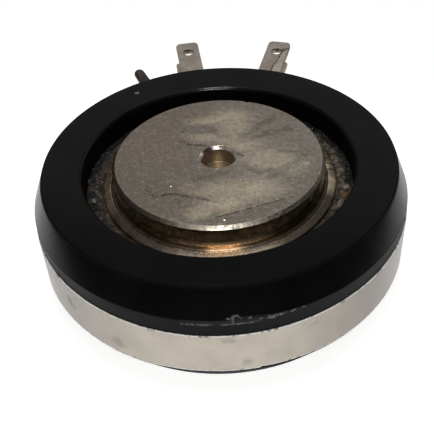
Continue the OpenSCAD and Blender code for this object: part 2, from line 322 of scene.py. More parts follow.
@dataclass(frozen=True)
class Stroke:
    """A drawn line on a face through some points, with its half width in millimetres."""

    points: tuple[Point, ...]
    half_width: float

    def strength(self, graph: Graph, place: Value) -> Value:
        """1 on the line, falling to 0 at its half width."""
        flat = graph.flat(place)
        distances = []
        for (x0, y0), (x1, y1) in zip(self.points, self.points[1:]):
            along = Vector((x1 - x0, y1 - y0, 0.0))
            local = graph.vector("SUBTRACT", flat, (x0, y0, 0.0))
            share = graph.vector("DOT_PRODUCT", local, tuple(along / along.length_squared))
            foot = graph.vector("SCALE", tuple(along), Scale=share.most(0.0).least(1.0))
            distances.append(graph.vector("DISTANCE", local, foot))
        return functools.reduce(Value.least, distances).ramp(self.half_width, 0.0)


def deepest(graph: Graph, place: Value, blots: Sequence[Blot]) -> Value:
    """The largest depth in any of some blots."""
    return functools.reduce(Value.most, [blot.depth(graph, place) for blot in blots])


def strongest(graph: Graph, place: Value, strokes: Sequence[Stroke]) -> Value:
    """The largest strength of some strokes."""
    return functools.reduce(Value.most, [stroke.strength(graph, place) for stroke in strokes])


@dataclass(frozen=True)
class HousingPlastic(Finish):
    """Black moulding: satin on its flat faces, glossy on its bevels, scuffed on its side."""

    top_z: float
    face_r: float
    outer_r: float
    opening_r: float
    label_z: float
    lean: float
    lean_z: float
    slot: str = "housing_plastic"
    black: Colour = (0.0032, 0.0027, 0.0029)
    haze_and_back_sheen: Colour = (0.0105, 0.0103, 0.0116)
    scuff: Colour = (0.0095, 0.0085, 0.0092)
    chip: Colour = (0.2, 0.2, 0.175)
    dust: Colour = (0.07, 0.065, 0.06)
    crumb: Colour = (0.23, 0.17, 0.13)
    fleck: Colour = (0.4, 0.42, 0.42)
    bruise: Colour = (0.019, 0.018, 0.018)
    dent_and_opening_shade: Colour = (0.001, 0.001, 0.001)
    crumbs: tuple[Blot, ...] = (Blot(-10.9, 13.3, 0.36, 0.28, 30.0),)
    flecks: tuple[Blot, ...] = (Blot(14.0, -13.9, 0.22, 0.12, 40.0), Blot(14.45, -14.3, 0.2, 0.13, 40.0))
    dents: tuple[Stroke, ...] = (Stroke(((8.15, -14.7), (8.5, -14.3), (8.75, -14.15)), 0.16),)

    def paint(self, graph: Graph) -> None:
        """Paints dust, scuffs and chips over the black, painted sheen towards the back and painted shade in
        the dent and opening, and sets the gloss of each face.
        """
        place = graph.position()
        x, y, z = graph.split(place)
        radius = x.hypot(y)
        top = z.ramp(self.top_z - 0.05, self.top_z - 0.015)
        side = radius.ramp(self.outer_r - 0.05, self.outer_r - 0.02)
        leaned = y + self.lean * z.ramp(self.lean_z, self.top_z)
        opening = x.hypot(leaned)
        inner = opening.ramp(self.opening_r + 0.12, self.opening_r + 0.02)
        under = z.ramp(self.label_z + 0.3, self.label_z)
        cloud = graph.noise(place, 0.16, 4.0).ramp(0.35, 0.7)
        grain = graph.noise(place, 9.0, 2.0)
        # Painted sheen: the top is lightened towards the back, standing in for its brighter reflection
        # there.
        painted_back_sheen = top * y.ramp(-18.0, -3.0) * (0.7 + 0.3 * cloud)
        seeds = graph.cells(place, 0.5)
        pick = graph.split(seeds.sibling("Color"))[0].ramp(0.84, 0.88)
        dots = seeds.ramp(0.07, 0.03) * pick * 0.5
        marked = graph.warp(graph.flat(place), 3.0, 0.25)
        crumb = deepest(graph, marked, self.crumbs).ramp(0.0, 0.3) * top
        fleck = deepest(graph, marked, self.flecks).ramp(0.0, 0.3) * top
        dent = strongest(graph, marked, self.dents) * top
        worn = graph.attribute("wear")
        rubbed = graph.attribute("rub")
        patch = graph.noise(place, 3.2, 3.0, 0.7)
        rounded = radius.ramp(self.face_r - 0.14, self.face_r - 0.06)
        rounded = rounded * z.ramp(self.top_z - 0.4, self.top_z - 0.1)
        lip = opening.ramp(self.opening_r + 0.5, self.opening_r + 0.3)
        lip = lip * opening.ramp(self.opening_r + 0.05, self.opening_r + 0.15) * y.ramp(7.0, 13.0)
        polished = lip * abs(x + 1.0).ramp(3.0, 1.2) * z.ramp(self.top_z - 0.5, self.top_z - 0.4)
        gloss = 0.09 * (1.0 - inner) * (1.0 - side) * (1.0 - under) * (1.0 - worn)
        height = grain * (0.0005 + 0.002 * top) + 0.02 * crumb - 0.05 * dent
        height = height + 0.03 * (worn + rubbed) * patch
        colour = graph.coats(
            self.black,
            # Random dust haze, and painted sheen towards the back of the top.
            (painted_back_sheen.most(cloud * 0.15), self.haze_and_back_sheen),
            (side * (0.6 + 0.4 * grain), self.scuff),
            (dots, self.dust),
            (crumb, self.crumb),
            (fleck, self.fleck),
            # Painted shade in the dent.
            (dent, self.dent_and_opening_shade),
            (worn * (0.6 + 0.4 * patch), self.bruise),
            (rubbed * (0.1 + 0.9 * patch.ramp(0.4, 0.6)), self.chip),
            # Painted shade on the opening's inner wall, which is the same black plastic.
            (inner * 0.8, self.dent_and_opening_shade),
        )
        graph.shade({
            "Base Color": colour,
            "Roughness": 0.26 + 0.16 * top + 0.08 * (cloud - 0.5) + 0.24 * side.most(worn) + 0.2 * dots
            + 0.4 * (under + inner + rounded).least(1.0),
            "Specular IOR Level": 0.06,
            "Coat Weight": (gloss * (1.0 - rounded)).most(polished * 0.7),
            "Coat Roughness": 0.2,
            "Normal": graph.bump(height),
        })


@dataclass(frozen=True)
class LabelFoil(Finish):
    """Bare silver foil with pale cut edges, smudges, faint rubbing and painted shade towards its sides."""

    radius: float
    slot: str = "label_foil"
    silver: Colour = (0.475, 0.43, 0.37)
    warm: Colour = (0.41, 0.37, 0.315)
    smudge_and_side_shade: Colour = (0.2, 0.175, 0.165)
    cut: Colour = (0.93, 0.92, 0.87)
    soil: Colour = (0.05, 0.04, 0.035)
    edge_w: float = 0.09
    smudges: tuple[Blot, ...] = (
        Blot(3.75, 4.7, 0.9, 0.7, 20.0), Blot(2.0, 8.0, 1.1, 0.5), Blot(10.6, 7.6, 0.7, 0.4, 20.0),
        Blot(-9.5, 5.0, 1.2, 0.8), Blot(-16.0, 6.6, 1.0, 1.2))

    def paint(self, graph: Graph) -> None:
        """Paints the foil, its smudges, painted shade towards its sides, its cut edges and the dirt caught
        along them.
        """
        place = graph.position()
        x, y, z = graph.split(place)
        around = x.math("ARCTAN2", 0.0 - y) * self.radius
        sheet = graph.node("ShaderNodeCombineXYZ", inputs={0: around, 1: z})
        cloud = graph.noise(sheet, 0.3, 4.0, 0.6)
        rub = graph.noise(graph.vector("MULTIPLY", sheet, (0.7, 5.0, 1.0)), 1.2, 3.0)
        fleck = graph.noise(sheet, 7.0, 2.0)
        spots = deepest(graph, graph.warp(sheet, 1.1, 2.2), self.smudges)
        dirty = (spots + (graph.noise(sheet, 1.6, 5.0, 0.7) - 0.5) * 1.2).ramp(0.05, 0.75)
        dirty = dirty.most(graph.noise(sheet, 0.5, 5.0, 0.68, 0.5).ramp(0.6, 0.8) * 0.6)
        inset = graph.attribute("inset")
        wobble = (graph.noise(sheet, 2.2, 4.0) - 0.5) * 0.1
        border = (inset + wobble).ramp(self.edge_w + 0.03, self.edge_w - 0.05)
        soiled = graph.noise(sheet, 1.1, 5.0, 0.75).ramp(0.53, 0.62)
        caught = (inset + wobble * 3.0).ramp(0.34, 0.12) * soiled
        colour = graph.coats(
            self.silver,
            (cloud.ramp(0.35, 0.68), self.warm),
            (dirty * 0.2, self.smudge_and_side_shade),
            # Painted shade: the foil darkens towards its sides, away from the front.
            (abs(around).ramp(4.0, 20.0) * 0.9, self.smudge_and_side_shade),
            (fleck.ramp(0.68, 0.76) * 0.35, self.smudge_and_side_shade),
            (border * 0.9, self.cut),
            (caught * 0.8, self.soil),
        )
        graph.shade({
            "Base Color": colour,
            "Metallic": (0.75 - 0.75 * border - 0.3 * dirty).most(0.0),
            "Roughness": 0.34 + 0.16 * (rub - 0.5) + 0.2 * dirty + 0.15 * border,
            "Normal": graph.bump(0.0018 * rub + 0.0012 * fleck),
        })


@dataclass(frozen=True)
class NickelPlate(Finish):
    """Nickel-plated copper: a lapped grey face with films and creases, and a brown polished flank."""

    side: Side
    face_z: float
    contact_r: float
    hole_r: float
    slot: str = "nickel_plate"
    brown: Colour = (0.45, 0.375, 0.305)
    grey: Colour = (0.52, 0.455, 0.39)
    dim: Colour = (0.25, 0.228, 0.18)
    olive: Colour = (0.66, 0.56, 0.385)
    straw: Colour = (0.9, 0.76, 0.53)
    crease_and_shade: Colour = (0.055, 0.047, 0.03)
    green: Colour = (0.12, 0.16, 0.09)
    pale: Colour = (0.95, 0.85, 0.77)
    flank: Colour = (0.78, 0.62, 0.45)
    bronze: Colour = (0.36, 0.285, 0.205)
    films: tuple[Blot, ...] = (
        Blot(-1.7, 7.0, 2.4, 0.8, 9.0), Blot(0.9, 7.3, 2.9, 2.1, 5.0), Blot(1.6, 5.5, 2.2, 1.9, 0.0),
        Blot(-1.6, 3.5, 2.7, 1.0, -8.0), Blot(2.2, 2.6, 3.0, 1.7, -15.0), Blot(5.9, -0.6, 3.8, 2.2, -12.0),
        Blot(1.6, -5.9, 4.2, 1.9, -4.0), Blot(4.6, -5.4, 2.9, 2.3, 14.0), Blot(0.8, -8.0, 2.7, 2.0, 12.0),
        Blot(-1.0, -9.3, 1.9, 1.0, 8.0),
    )
    straws: tuple[Blot, ...] = (
        Blot(-0.9, 7.1, 2.6, 0.8, 8.0), Blot(1.0, 8.0, 1.7, 0.9, 10.0), Blot(2.9, 1.4, 1.2, 0.7, -10.0),
        Blot(4.6, -1.6, 1.2, 0.9, 0.0), Blot(4.0, -5.6, 2.0, 1.5, 10.0), Blot(2.0, -7.7, 2.1, 1.2, 15.0),
    )
    scribe: tuple[Point, Point] = ((0.6, -9.9), (8.1, -6.7))
    smokes: tuple[Stroke, ...] = (
        Stroke(((2.6, 3.9), (3.4, 5.0), (4.6, 6.3), (6.2, 7.6)), 0.95),
        Stroke(((2.2, 2.9), (4.0, 3.6), (5.6, 4.5), (7.6, 5.0)), 0.8),
        Stroke(((5.6, -3.6), (7.2, -2.2), (8.6, -1.0), (9.4, 0.6)), 0.9),
        Stroke(((-4.4, 4.4), (-2.6, 4.6), (-0.6, 5.0)), 0.5),
        Stroke(((3.0, -1.8), (4.6, -2.6), (6.0, -2.4)), 0.6),
        Stroke(((-2.2, -4.2), (-0.6, -3.6), (1.2, -2.9)), 0.8),
        Stroke(((6.8, 1.0), (8.6, 0.8), (9.8, 1.2)), 0.5),
    )
    creases: tuple[Stroke, ...] = (
        Stroke(((-4.3, 2.8), (-3.4, 2.4), (-2.3, 2.15), (-1.0, 1.9), (-0.2, 1.5)), 0.42),
        Stroke(((0.9, 1.2), (1.9, 0.6), (2.6, 0.2)), 0.38),
        Stroke(((-7.0, -5.7), (-6.1, -6.9), (-4.4, -6.3), (-3.4, -6.5), (-1.9, -6.8), (-0.3, -7.4)), 0.36),
    )
    glints: tuple[Stroke, ...] = (Stroke(((-0.5, -7.7), (0.1, -8.05), (0.5, -8.0)), 0.13),)
    specks: tuple[Blot, ...] = (
        Blot(-10.2, -2.6, 0.6, 0.35), Blot(-7.1, -5.1, 0.4, 0.3), Blot(-6.9, -5.8, 0.3, 0.25),
        Blot(-3.8, 6.6, 0.5, 0.4), Blot(0.2, -9.7, 0.9, 0.5, 25.0), Blot(4.8, -7.8, 0.5, 0.3),
        Blot(6.7, -7.0, 0.6, 0.3), Blot(0.4, 9.5, 0.7, 0.25),
    )
    dots: tuple[Blot, ...] = (
        Blot(-6.7, 0.5, 0.2, 0.14), Blot(-3.9, -0.8, 0.16, 0.13), Blot(-1.9, -2.0, 0.2, 0.14),
        Blot(-3.0, -8.1, 0.16, 0.13), Blot(9.6, -1.2, 0.5, 0.4),
    )
    sparks: tuple[Blot, ...] = (
        Blot(1.3, -10.4, 0.2, 0.26), Blot(-4.6, -5.1, 0.14, 0.14), Blot(0.1, -2.2, 0.22, 0.12),
    )
    mottle: Blot = Blot(-5.9, -0.6, 4.6, 4.0)

    def paint(self, graph: Graph) -> None:
        """Paints the face, then the flank and the hole, with painted highlights on the sparks, glints and
        the hole's chamfer and painted shade on the sides of the chamfer and flank, and sets gloss and
        relief.
        """
        place = graph.position()
        x, y, z = graph.split(place)
        radius = x.hypot(y)
        flat = self.face_place(graph, place)
        face = abs(z - self.face_z).ramp(0.4, 0.3)
        beyond = self.beyond_scribe(graph, flat)
        streaks = self.streaks(graph, flat)
        film = self.film_share(graph, flat, streaks) * (1.0 - beyond) * face
        dark = self.dark_lines(graph, flat) * face
        speck = deepest(graph, graph.warp(flat, 2.2, 0.6), self.specks).ramp(0.0, 0.6) * face
        sparked = graph.warp(flat, 3.5, 0.4)
        spark = deepest(graph, sparked, self.sparks).ramp(0.0, 0.5)
        spark = spark.most(strongest(graph, graph.warp(flat, 1.1, 0.5), self.glints)) * face
        dot = deepest(graph, graph.warp(flat, 3.0, 0.2), self.dots).ramp(0.0, 0.6) * face
        grain = graph.noise(place, 4.2, 4.0, 0.75)
        mottle = graph.noise(place, 1.5, 4.0, 0.65)
        speckle = grain * 0.6 + mottle * 0.4
        edge = radius.ramp(self.contact_r - 0.4, self.contact_r - 0.3)
        below = 1.0 - abs(z - self.face_z).ramp(0.5, 0.3)
        wall = radius.ramp(self.contact_r - 0.06, self.contact_r - 0.02) * below
        bore = radius.ramp(self.hole_r + 0.12, self.hole_r + 0.02) * (1.0 - face)
        scuffed = graph.noise(place, 2.6, 4.0, 0.7).ramp(0.42, 0.6)
        # Where the chamfer gets painted shade: on the left and, less, on the right.
        shaded = graph.facing(place, -150.0, 50.0, 20.0).most(graph.facing(place, -14.0, 30.0, 12.0) * 0.35)
        hole_edge = radius.ramp(self.hole_r + 0.36, self.hole_r + 0.28) * (1.0 - bore)
        bright = (wall + edge).least(1.0)
        lapped = 0.36 + 0.1 * film + 0.2 * dark + 0.3 * (grain - 0.5)
        lapped = lapped - 0.14 * spark + 0.1 * bore - 0.2 * hole_edge
        relief = 0.01 * film * streaks - 0.02 * dark + 0.01 * grain
        for facet in self.sparks:
            relief = relief + facet.lean(graph, sparked) * face
        colour = graph.coats(
            self.bare_metal(graph, flat, mottle),
            (film * 0.55, self.olive),
            (self.straw_share(graph, flat, streaks) * film * 0.35, self.straw),
            (self.smoke_share(graph, flat, streaks) * face * 0.65, self.dim),
            (dark * 0.9, self.crease_and_shade),
            (speck * 0.6, self.green),
            ((self.grit(graph, flat) * face).most(dot * 0.5), self.pale),
            (speckle.ramp(0.5, 0.64) * 0.42, self.pale),
            (speckle.ramp(0.5, 0.36) * 0.62, self.dim),
            # Painted highlight on the sparks and glints, over their leaning facets.
            (spark * 0.85, self.pale),
            (edge * (0.25 + 0.5 * scuffed), self.dim),
            # Painted shade on the chamfer's left and right.
            (edge * shaded * 0.75, self.crease_and_shade),
            (wall, self.flank),
            # Painted shade on the flank towards its left and right.
            (wall * abs(x).ramp(3.0, 9.5) * 0.72, self.crease_and_shade),
            (bore, self.bronze),
            # Painted highlight on the hole's chamfer.
            (hole_edge * 0.5, self.pale),
        )
        graph.shade({
            "Base Color": colour,
            "Metallic": 1.0 - 0.25 * film - 0.3 * speck,
            "Roughness": lapped * (1.0 - bright) + (0.14 + (0.16 + 0.24 * scuffed) * (1.0 - wall)) * bright,
            "Normal": graph.bump(relief * (1.0 - bright)),
        })

    def face_place(self, graph: Graph, place: Value) -> Value:
        """The place on the face, turned and mirrored on the anode so that the two faces differ."""
        flat = graph.flat(place)
        if self.side is Side.CATHODE:
            return flat
        return graph.node("ShaderNodeMapping", inputs={
            "Vector": flat, "Rotation": (0.0, 0.0, math.radians(140.0)), "Scale": (-0.9, 0.9, 1.0)})

    def beyond_scribe(self, graph: Graph, flat: Value) -> Value:
        """1 on the clean side of the scribed line and 0 on the other."""
        (x0, y0), (x1, y1) = self.scribe
        across = Vector((y1 - y0, x0 - x1, 0.0)).normalized()
        local = graph.vector("SUBTRACT", flat, (x0, y0, 0.0))
        return graph.vector("DOT_PRODUCT", local, tuple(across)).ramp(-0.06, 0.06)

    def streaks(self, graph: Graph, flat: Value) -> Value:
        """Smoky noise that is drawn out from the lower left to the upper right."""
        slanted = graph.node("ShaderNodeMapping", inputs={
            "Vector": graph.warp(flat, 0.5, 1.2), "Rotation": (0.0, 0.0, math.radians(-18.0)),
            "Scale": (0.5, 1.5, 1.0)})
        return graph.noise(slanted, 0.9, 6.0, 0.68)

    def film_share(self, graph: Graph, flat: Value, streaks: Value) -> Value:
        """How thick the films are, with ragged and streaky borders."""
        ragged = graph.warp(graph.warp(flat, 0.4, 1.4), 1.6, 0.7)
        return (deepest(graph, ragged, self.films) + (streaks - 0.5) * 1.9).ramp(-0.5, 0.7)

    def straw_share(self, graph: Graph, flat: Value, streaks: Value) -> Value:
        """Where the films are palest."""
        ragged = graph.warp(graph.warp(flat, 0.5, 1.0), 2.0, 0.5)
        return (deepest(graph, ragged, self.straws) + (streaks - 0.5) * 1.8).ramp(0.0, 0.8)

    def smoke_share(self, graph: Graph, flat: Value, streaks: Value) -> Value:
        """Where the face is smoked dark."""
        drawn = strongest(graph, graph.warp(flat, 0.7, 1.3), self.smokes)
        x, _, _ = graph.split(flat)
        loose = streaks.ramp(0.52, 0.68) * (0.25 + 0.35 * x.ramp(-6.0, 4.0))
        return (drawn * (0.35 + 1.1 * streaks.ramp(0.38, 0.62))).most(loose).least(1.0)

    def dark_lines(self, graph: Graph, flat: Value) -> Value:
        """Creases and the scribed line."""
        broken = 0.6 + 0.4 * graph.noise(flat, 1.3, 4.0).ramp(0.38, 0.6)
        drawn = strongest(graph, graph.warp(flat, 0.9, 0.6), self.creases)
        return (drawn.most(Stroke(self.scribe, 0.22).strength(graph, flat))) * broken

    def bare_metal(self, graph: Graph, flat: Value, mottle: Value) -> Value:
        """The metal's tone: browner on the left, and dimmer towards the lower right and the lower left."""
        x, y, _ = graph.split(flat)
        return graph.coats(
            self.brown,
            ((x + 8.0 * (mottle - 0.5)).ramp(-6.0, 6.0), self.grey),
            ((x * 0.55 - y * 0.6).ramp(3.0, 10.0) * 0.4, self.dim),
            ((0.0 - x * 0.4 - y * 0.8).ramp(0.0, 10.0) * 0.4, self.dim),
        )

    def grit(self, graph: Graph, flat: Value) -> Value:
        """Pale grains, thickest in the mottled part of the face."""
        dust = graph.cells(flat, 2.8)
        near = self.mottle.depth(graph, flat).ramp(0.0, 0.7)
        picked = graph.split(dust.sibling("Color"))[1].ramp(0.5, 0.7)
        return dust.ramp(0.24, 0.08) * picked * (0.06 + 0.8 * near)


@dataclass(frozen=True)
class FlangeSheet(Finish):
    """Tarnished plated sheet: dull brown and grey, brighter where its rim is rubbed, with a painted
    highlight at the front, painted light on the right and painted shade elsewhere and in its groove and
    fillet.
    """

    rim_r: float
    rim_in: float
    slot: str = "flange_sheet"
    plate: Colour = (0.53, 0.43, 0.315)
    grey: Colour = (0.36, 0.315, 0.25)
    stain: Colour = (0.2, 0.105, 0.05)
    soot_and_shade: Colour = (0.045, 0.035, 0.026)
    rubbed: Colour = (0.8, 0.66, 0.47)
    glow: Colour = (0.95, 0.62, 0.34)
    bars: tuple[Blot, ...] = (
        Blot(12.45, 1.35, 0.7, 0.2, 6.0), Blot(12.35, 2.3, 0.7, 0.22, 10.0),
        Blot(12.1, 3.3, 0.6, 0.16, 15.0))

    def paint(self, graph: Graph) -> None:
        """Paints cloudy tarnish, brown stains, dark grains and rubbed spots, then painted light and shade
        by direction and in the groove and fillet.
        """
        place = graph.position()
        cloud = graph.noise(place, 0.32, 4.0)
        grain = graph.noise(place, 3.2, 5.0, 0.75)
        x, y, _ = graph.split(place)
        radius = x.hypot(y)
        groove = radius.ramp(self.rim_r - 0.14, self.rim_r - 0.04)
        fillet = radius.ramp(self.rim_in + 0.04, self.rim_in - 0.12)
        front = graph.facing(place, CAMERA_SIDE_DEG, 32.0, 5.0)
        # The right side gets painted light and is kept out of the painted shade.
        right = graph.facing(place, 6.0, 24.0, 12.0)
        # The directions round the axis that stay light; the rest of the sheet gets painted shade.
        lit = (front * 0.86).most(right).most(graph.facing(place, 180.0, 34.0, 16.0) * 0.8)
        patchy = graph.noise(place, 1.1, 4.0, 0.6)
        # Painted highlight: an orange sheen at the front, strongest in the fillet.
        painted_front_highlight = (graph.facing(place, CAMERA_SIDE_DEG, 13.0, 0.0) * (0.55 + 0.9 * patchy)).least(1.0)
        stained = (graph.noise(place, 0.8, 5.0, 0.65, 0.4) + 0.08 * x.ramp(-3.0, -9.0)).ramp(0.5, 0.66)
        # The crest is partly rubbed metal and partly a painted highlight.
        crest = abs(radius - self.rim_in - 0.08).ramp(0.14, 0.05) * (0.3 + 0.7 * patchy.ramp(0.4, 0.55))
        rubbed = grain.ramp(0.57, 0.7).most(crest * 0.8)
        barred = deepest(graph, graph.warp(graph.flat(place), 2.0, 0.3), self.bars).ramp(0.0, 0.4)
        # Painted shade away from the lit directions and in the fillet, less on the lit crest and under the
        # front highlight.
        painted_shade_and_speckle = (0.9 - 0.9 * lit).most(fillet * 0.85) * (1.0 - 0.7 * crest * front) - 0.5 * painted_front_highlight
        speckled = graph.noise(place, 5.0, 3.0, 0.7).ramp(0.62, 0.42)
        # Painted shade in the groove by the bead, and random dark speckles.
        painted_shade_and_speckle = painted_shade_and_speckle.most(groove * 0.85).most(speckled * 0.55 * (1.0 - right))
        colour = graph.coats(
            self.plate,
            (cloud.ramp(0.38, 0.62), self.grey),
            (stained * 0.8, self.stain),
            (grain.ramp(0.45, 0.36) * 0.75, self.soot_and_shade),
            # Rubbed spots, the crest partly as painted highlight, and painted light on the right side.
            ((rubbed * 0.6).most(right * 0.85), self.rubbed),
            # Painted highlight at the front.
            (painted_front_highlight * (0.45 + 0.35 * fillet), self.glow),
            (barred * 0.8, self.stain),
            # Painted shade, and the dark speckles.
            (painted_shade_and_speckle, self.soot_and_shade),
        )
        graph.shade({
            "Base Color": colour,
            "Metallic": 0.9 - 0.4 * stained,
            "Roughness": 0.36 + 0.16 * stained - 0.18 * rubbed,
            "Normal": graph.bump(0.03 * grain + 0.01 * cloud),
        })


@dataclass(frozen=True)
class SealResin(Finish):
    """Rough sealing resin: dark brown with grey crumbs, pale grains and an amber spot, and painted shade in
    its hollows and near the wall.
    """

    wall_r: float
    slot: str = "seal_resin"
    brown: Colour = (0.05, 0.034, 0.021)
    grey: Colour = (0.19, 0.15, 0.105)
    rust: Colour = (0.085, 0.045, 0.022)
    pit_and_shade: Colour = (0.004, 0.003, 0.003)
    grain: Colour = (0.55, 0.46, 0.34)
    amber: Colour = (0.3, 0.14, 0.03)
    ambers: tuple[Blot, ...] = (Blot(13.7, -2.9, 0.45, 0.6),)
    chunks: tuple[Blot, ...] = (
        Blot(13.05, -4.2, 0.4, 0.7, -20.0), Blot(13.8, -1.4, 0.5, 0.5), Blot(-13.6, -2.6, 0.3, 0.4),
        Blot(-13.4, -4.0, 0.25, 0.5, 20.0))
    pits: tuple[Blot, ...] = (
        Blot(-13.9, -3.0, 0.5, 0.8), Blot(-13.5, -4.7, 0.6, 0.5), Blot(14.2, -0.3, 0.55, 0.5))

    def paint(self, graph: Graph) -> None:
        """Paints lumps, pits and grit, with wet spots that shine, and painted shade in the pits, at the
        wall's foot and towards the back, left and front.
        """
        place = graph.position()
        x, y, _ = graph.split(place)
        ragged = graph.warp(graph.flat(place), 1.8, 0.9)
        lumps = graph.noise(place, 1.2, 5.0, 0.66)
        fine = graph.noise(place, 6.0, 3.0, 0.7)
        greyer = lumps.ramp(0.44, 0.62) * (0.3 + 0.7 * x.ramp(-8.0, 11.0))
        radius = x.hypot(y)
        # Painted shadow of the housing wall on the bead's outer part.
        foot = radius.ramp(self.wall_r - 1.1, self.wall_r - 0.5) * y.ramp(-4.0, 0.0)
        # Painted shade: darker towards the back, the far left and the front.
        dull = (y.ramp(1.0, 9.0) * 0.65).most(x.ramp(-6.0, -12.0) * 0.6).most(y.ramp(1.5, -2.0) * 0.5)
        chunk = deepest(graph, ragged, self.chunks).ramp(0.0, 0.8) * (0.15 + 0.5 * fine.ramp(0.35, 0.6))
        # Pits and low spots between the lumps, which get painted shade.
        pit_and_shade = deepest(graph, ragged, self.pits).ramp(0.0, 0.35).most(lumps.ramp(0.4, 0.3))
        grit = graph.attribute("grit")
        shine = graph.noise(place, 2.3, 2.0).ramp(0.5, 0.72)
        colour = graph.coats(
            self.brown,
            (greyer, self.grey),
            (graph.noise(place, 0.7, 4.0).ramp(0.5, 0.68) * 0.7, self.rust),
            # Painted shade towards the back, left and front.
            (dull, self.pit_and_shade),
            (fine.ramp(0.56, 0.68) * lumps.ramp(0.46, 0.56) * 0.5, self.grain),
            # Painted shadow at the wall's foot.
            (foot, self.pit_and_shade),
            (chunk, self.grain),
            # Painted shade in the pits.
            (pit_and_shade, self.pit_and_shade),
            (deepest(graph, ragged, self.ambers).ramp(0.0, 0.8) * 0.7, self.amber),
            (grit * shine * 0.9, self.grain),
        )
        graph.shade({
            "Base Color": colour,
            "Roughness": 0.6 - 0.42 * shine + 0.2 * pit_and_shade,
            "Specular IOR Level": 0.4,
            "Normal": graph.bump(0.1 * lumps + 0.02 * fine - 0.1 * pit_and_shade),
        })


@dataclass(frozen=True)
class TinnedTab(Finish):
    """Tinned brass strip with rolling lines, dull spots and, where it is stored, a film of old solder."""

    turn: float
    slot: str = "tinned_tab"
    tin: Colour = (0.86, 0.745, 0.635)
    dull: Colour = (0.62, 0.535, 0.455)
    solder: Colour = (0.84, 0.79, 0.72)
    flux_and_eye_shade: Colour = (0.11, 0.085, 0.058)

    def paint(self, graph: Graph) -> None:
        """Paints rolling lines along the tab, dull spots, the solder's dark border and painted shade in the
        eye.
        """
        place = graph.position()
        along = graph.node("ShaderNodeMapping", inputs={
            "Vector": place, "Rotation": (0.0, 0.0, math.radians(-self.turn))})
        rolled = graph.noise(graph.vector("MULTIPLY", along, (6.0, 0.35, 2.0)), 1.0, 3.0, 0.6)
        cloud = graph.noise(place, 0.7, 4.0, 0.6)
        grain = graph.noise(place, 6.0, 3.0)
        dirt = graph.noise(place, 2.0, 4.0, 0.7).ramp(0.62, 0.74)
        film = graph.attribute("solder")
        ragged = film + 0.5 * (graph.noise(place, 1.9, 4.0, 0.65) - 0.5)
        border = (1.0 - abs(ragged - 0.45) * 2.2).most(0.0).ramp(0.1, 0.7)
        border = border * film.ramp(0.02, 0.12) * film.ramp(1.0, 0.9)
        colour = graph.coats(
            self.tin,
            (cloud.ramp(0.35, 0.65), self.dull),
            (rolled.ramp(0.5, 0.72) * 0.4, self.dull),
            (film.ramp(0.4, 0.8) * 0.25, self.solder),
            ((dirt * 0.5).most(border * 0.9), self.flux_and_eye_shade),
            (graph.attribute("low") * 0.55, self.dull),
            # Painted shade on the eye's inner wall.
            (graph.attribute("eye") * 0.75, self.flux_and_eye_shade),
        )
        graph.shade({
            "Base Color": colour,
            "Metallic": 0.95 - 0.5 * border - 0.35 * dirt,
            "Roughness": 0.34 + 0.14 * (cloud - 0.5) + 0.2 * dirt + 0.12 * film,
            "Normal": graph.bump(0.004 * rolled + 0.005 * grain + 0.012 * film * cloud),
        })


@dataclass(frozen=True)
class CastResin(Finish):
    """Dark brown cast resin, glossy with dull rubbed patches."""

    slot: str = "stub_resin"
    dark: Colour = (0.02, 0.014, 0.012)
    rubbed: Colour = (0.07, 0.052, 0.043)

    def paint(self, graph: Graph) -> None:
        """Paints rubbed streaks over the dark resin."""
        place = graph.position()
        streak = graph.noise(graph.vector("MULTIPLY", place, (2.2, 0.8, 2.2)), 1.0, 4.0, 0.6)
        grain = graph.noise(place, 5.0, 3.0)
        worn = streak.ramp(0.42, 0.66)
        graph.shade({
            "Base Color": graph.mix(worn, self.dark, self.rubbed),
            "Roughness": 0.32 + 0.25 * worn,
            "Normal": graph.bump(0.02 * streak + 0.008 * grain),
        })


@dataclass(frozen=True)
class TurnedMetal(Finish):
    """Bare metal with fine rings about the disc's axis and cloudy tarnish."""

    slot: str
    metal: Colour
    tarnish: Colour
    roughness: float = 0.3
    rings_per_mm: float = 9.0

    def paint(self, graph: Graph) -> None:
        """Paints rings that follow the radius and height, and tarnish in clouds."""
        place = graph.position()
        x, y, z = graph.split(place)
        radius = x.hypot(y)
        grain = graph.noise(place, 5.0, 3.0)
        rings = ((radius + z) * (math.tau * self.rings_per_mm / 4.0) + grain * 3.0).math("SINE")
        cloud = graph.noise(place, 0.6, 4.0).ramp(0.4, 0.7)
        graph.shade({
            "Base Color": graph.mix(cloud, self.metal, self.tarnish),
            "Metallic": 1.0,
            "Roughness": self.roughness + 0.15 * cloud + 0.04 * rings,
            "Normal": graph.bump(0.0015 * rings + 0.003 * grain),
        })


@dataclass(frozen=True)
class MouldedPolymer(Finish):
    """Dull rubber or waxy fluoropolymer with fine specks and flow clouds."""

    slot: str
    body: Colour
    cloud: Colour
    roughness: float
    fleck: Colour = (0.3, 0.28, 0.25)

    def paint(self, graph: Graph) -> None:
        """Paints flow clouds and specks."""
        place = graph.position()
        flow = graph.noise(place, 0.5, 4.0, 0.55, 0.8)
        grain = graph.noise(place, 8.0, 3.0)
        colour = graph.coats(
            self.body,
            (flow.ramp(0.35, 0.7), self.cloud),
            (graph.cells(place, 2.2).ramp(0.12, 0.05) * 0.35, self.fleck),
        )
        graph.shade({
            "Base Color": colour,
            "Roughness": self.roughness + 0.12 * (flow - 0.5),
            "Normal": graph.bump(0.006 * grain + 0.004 * flow),
        })


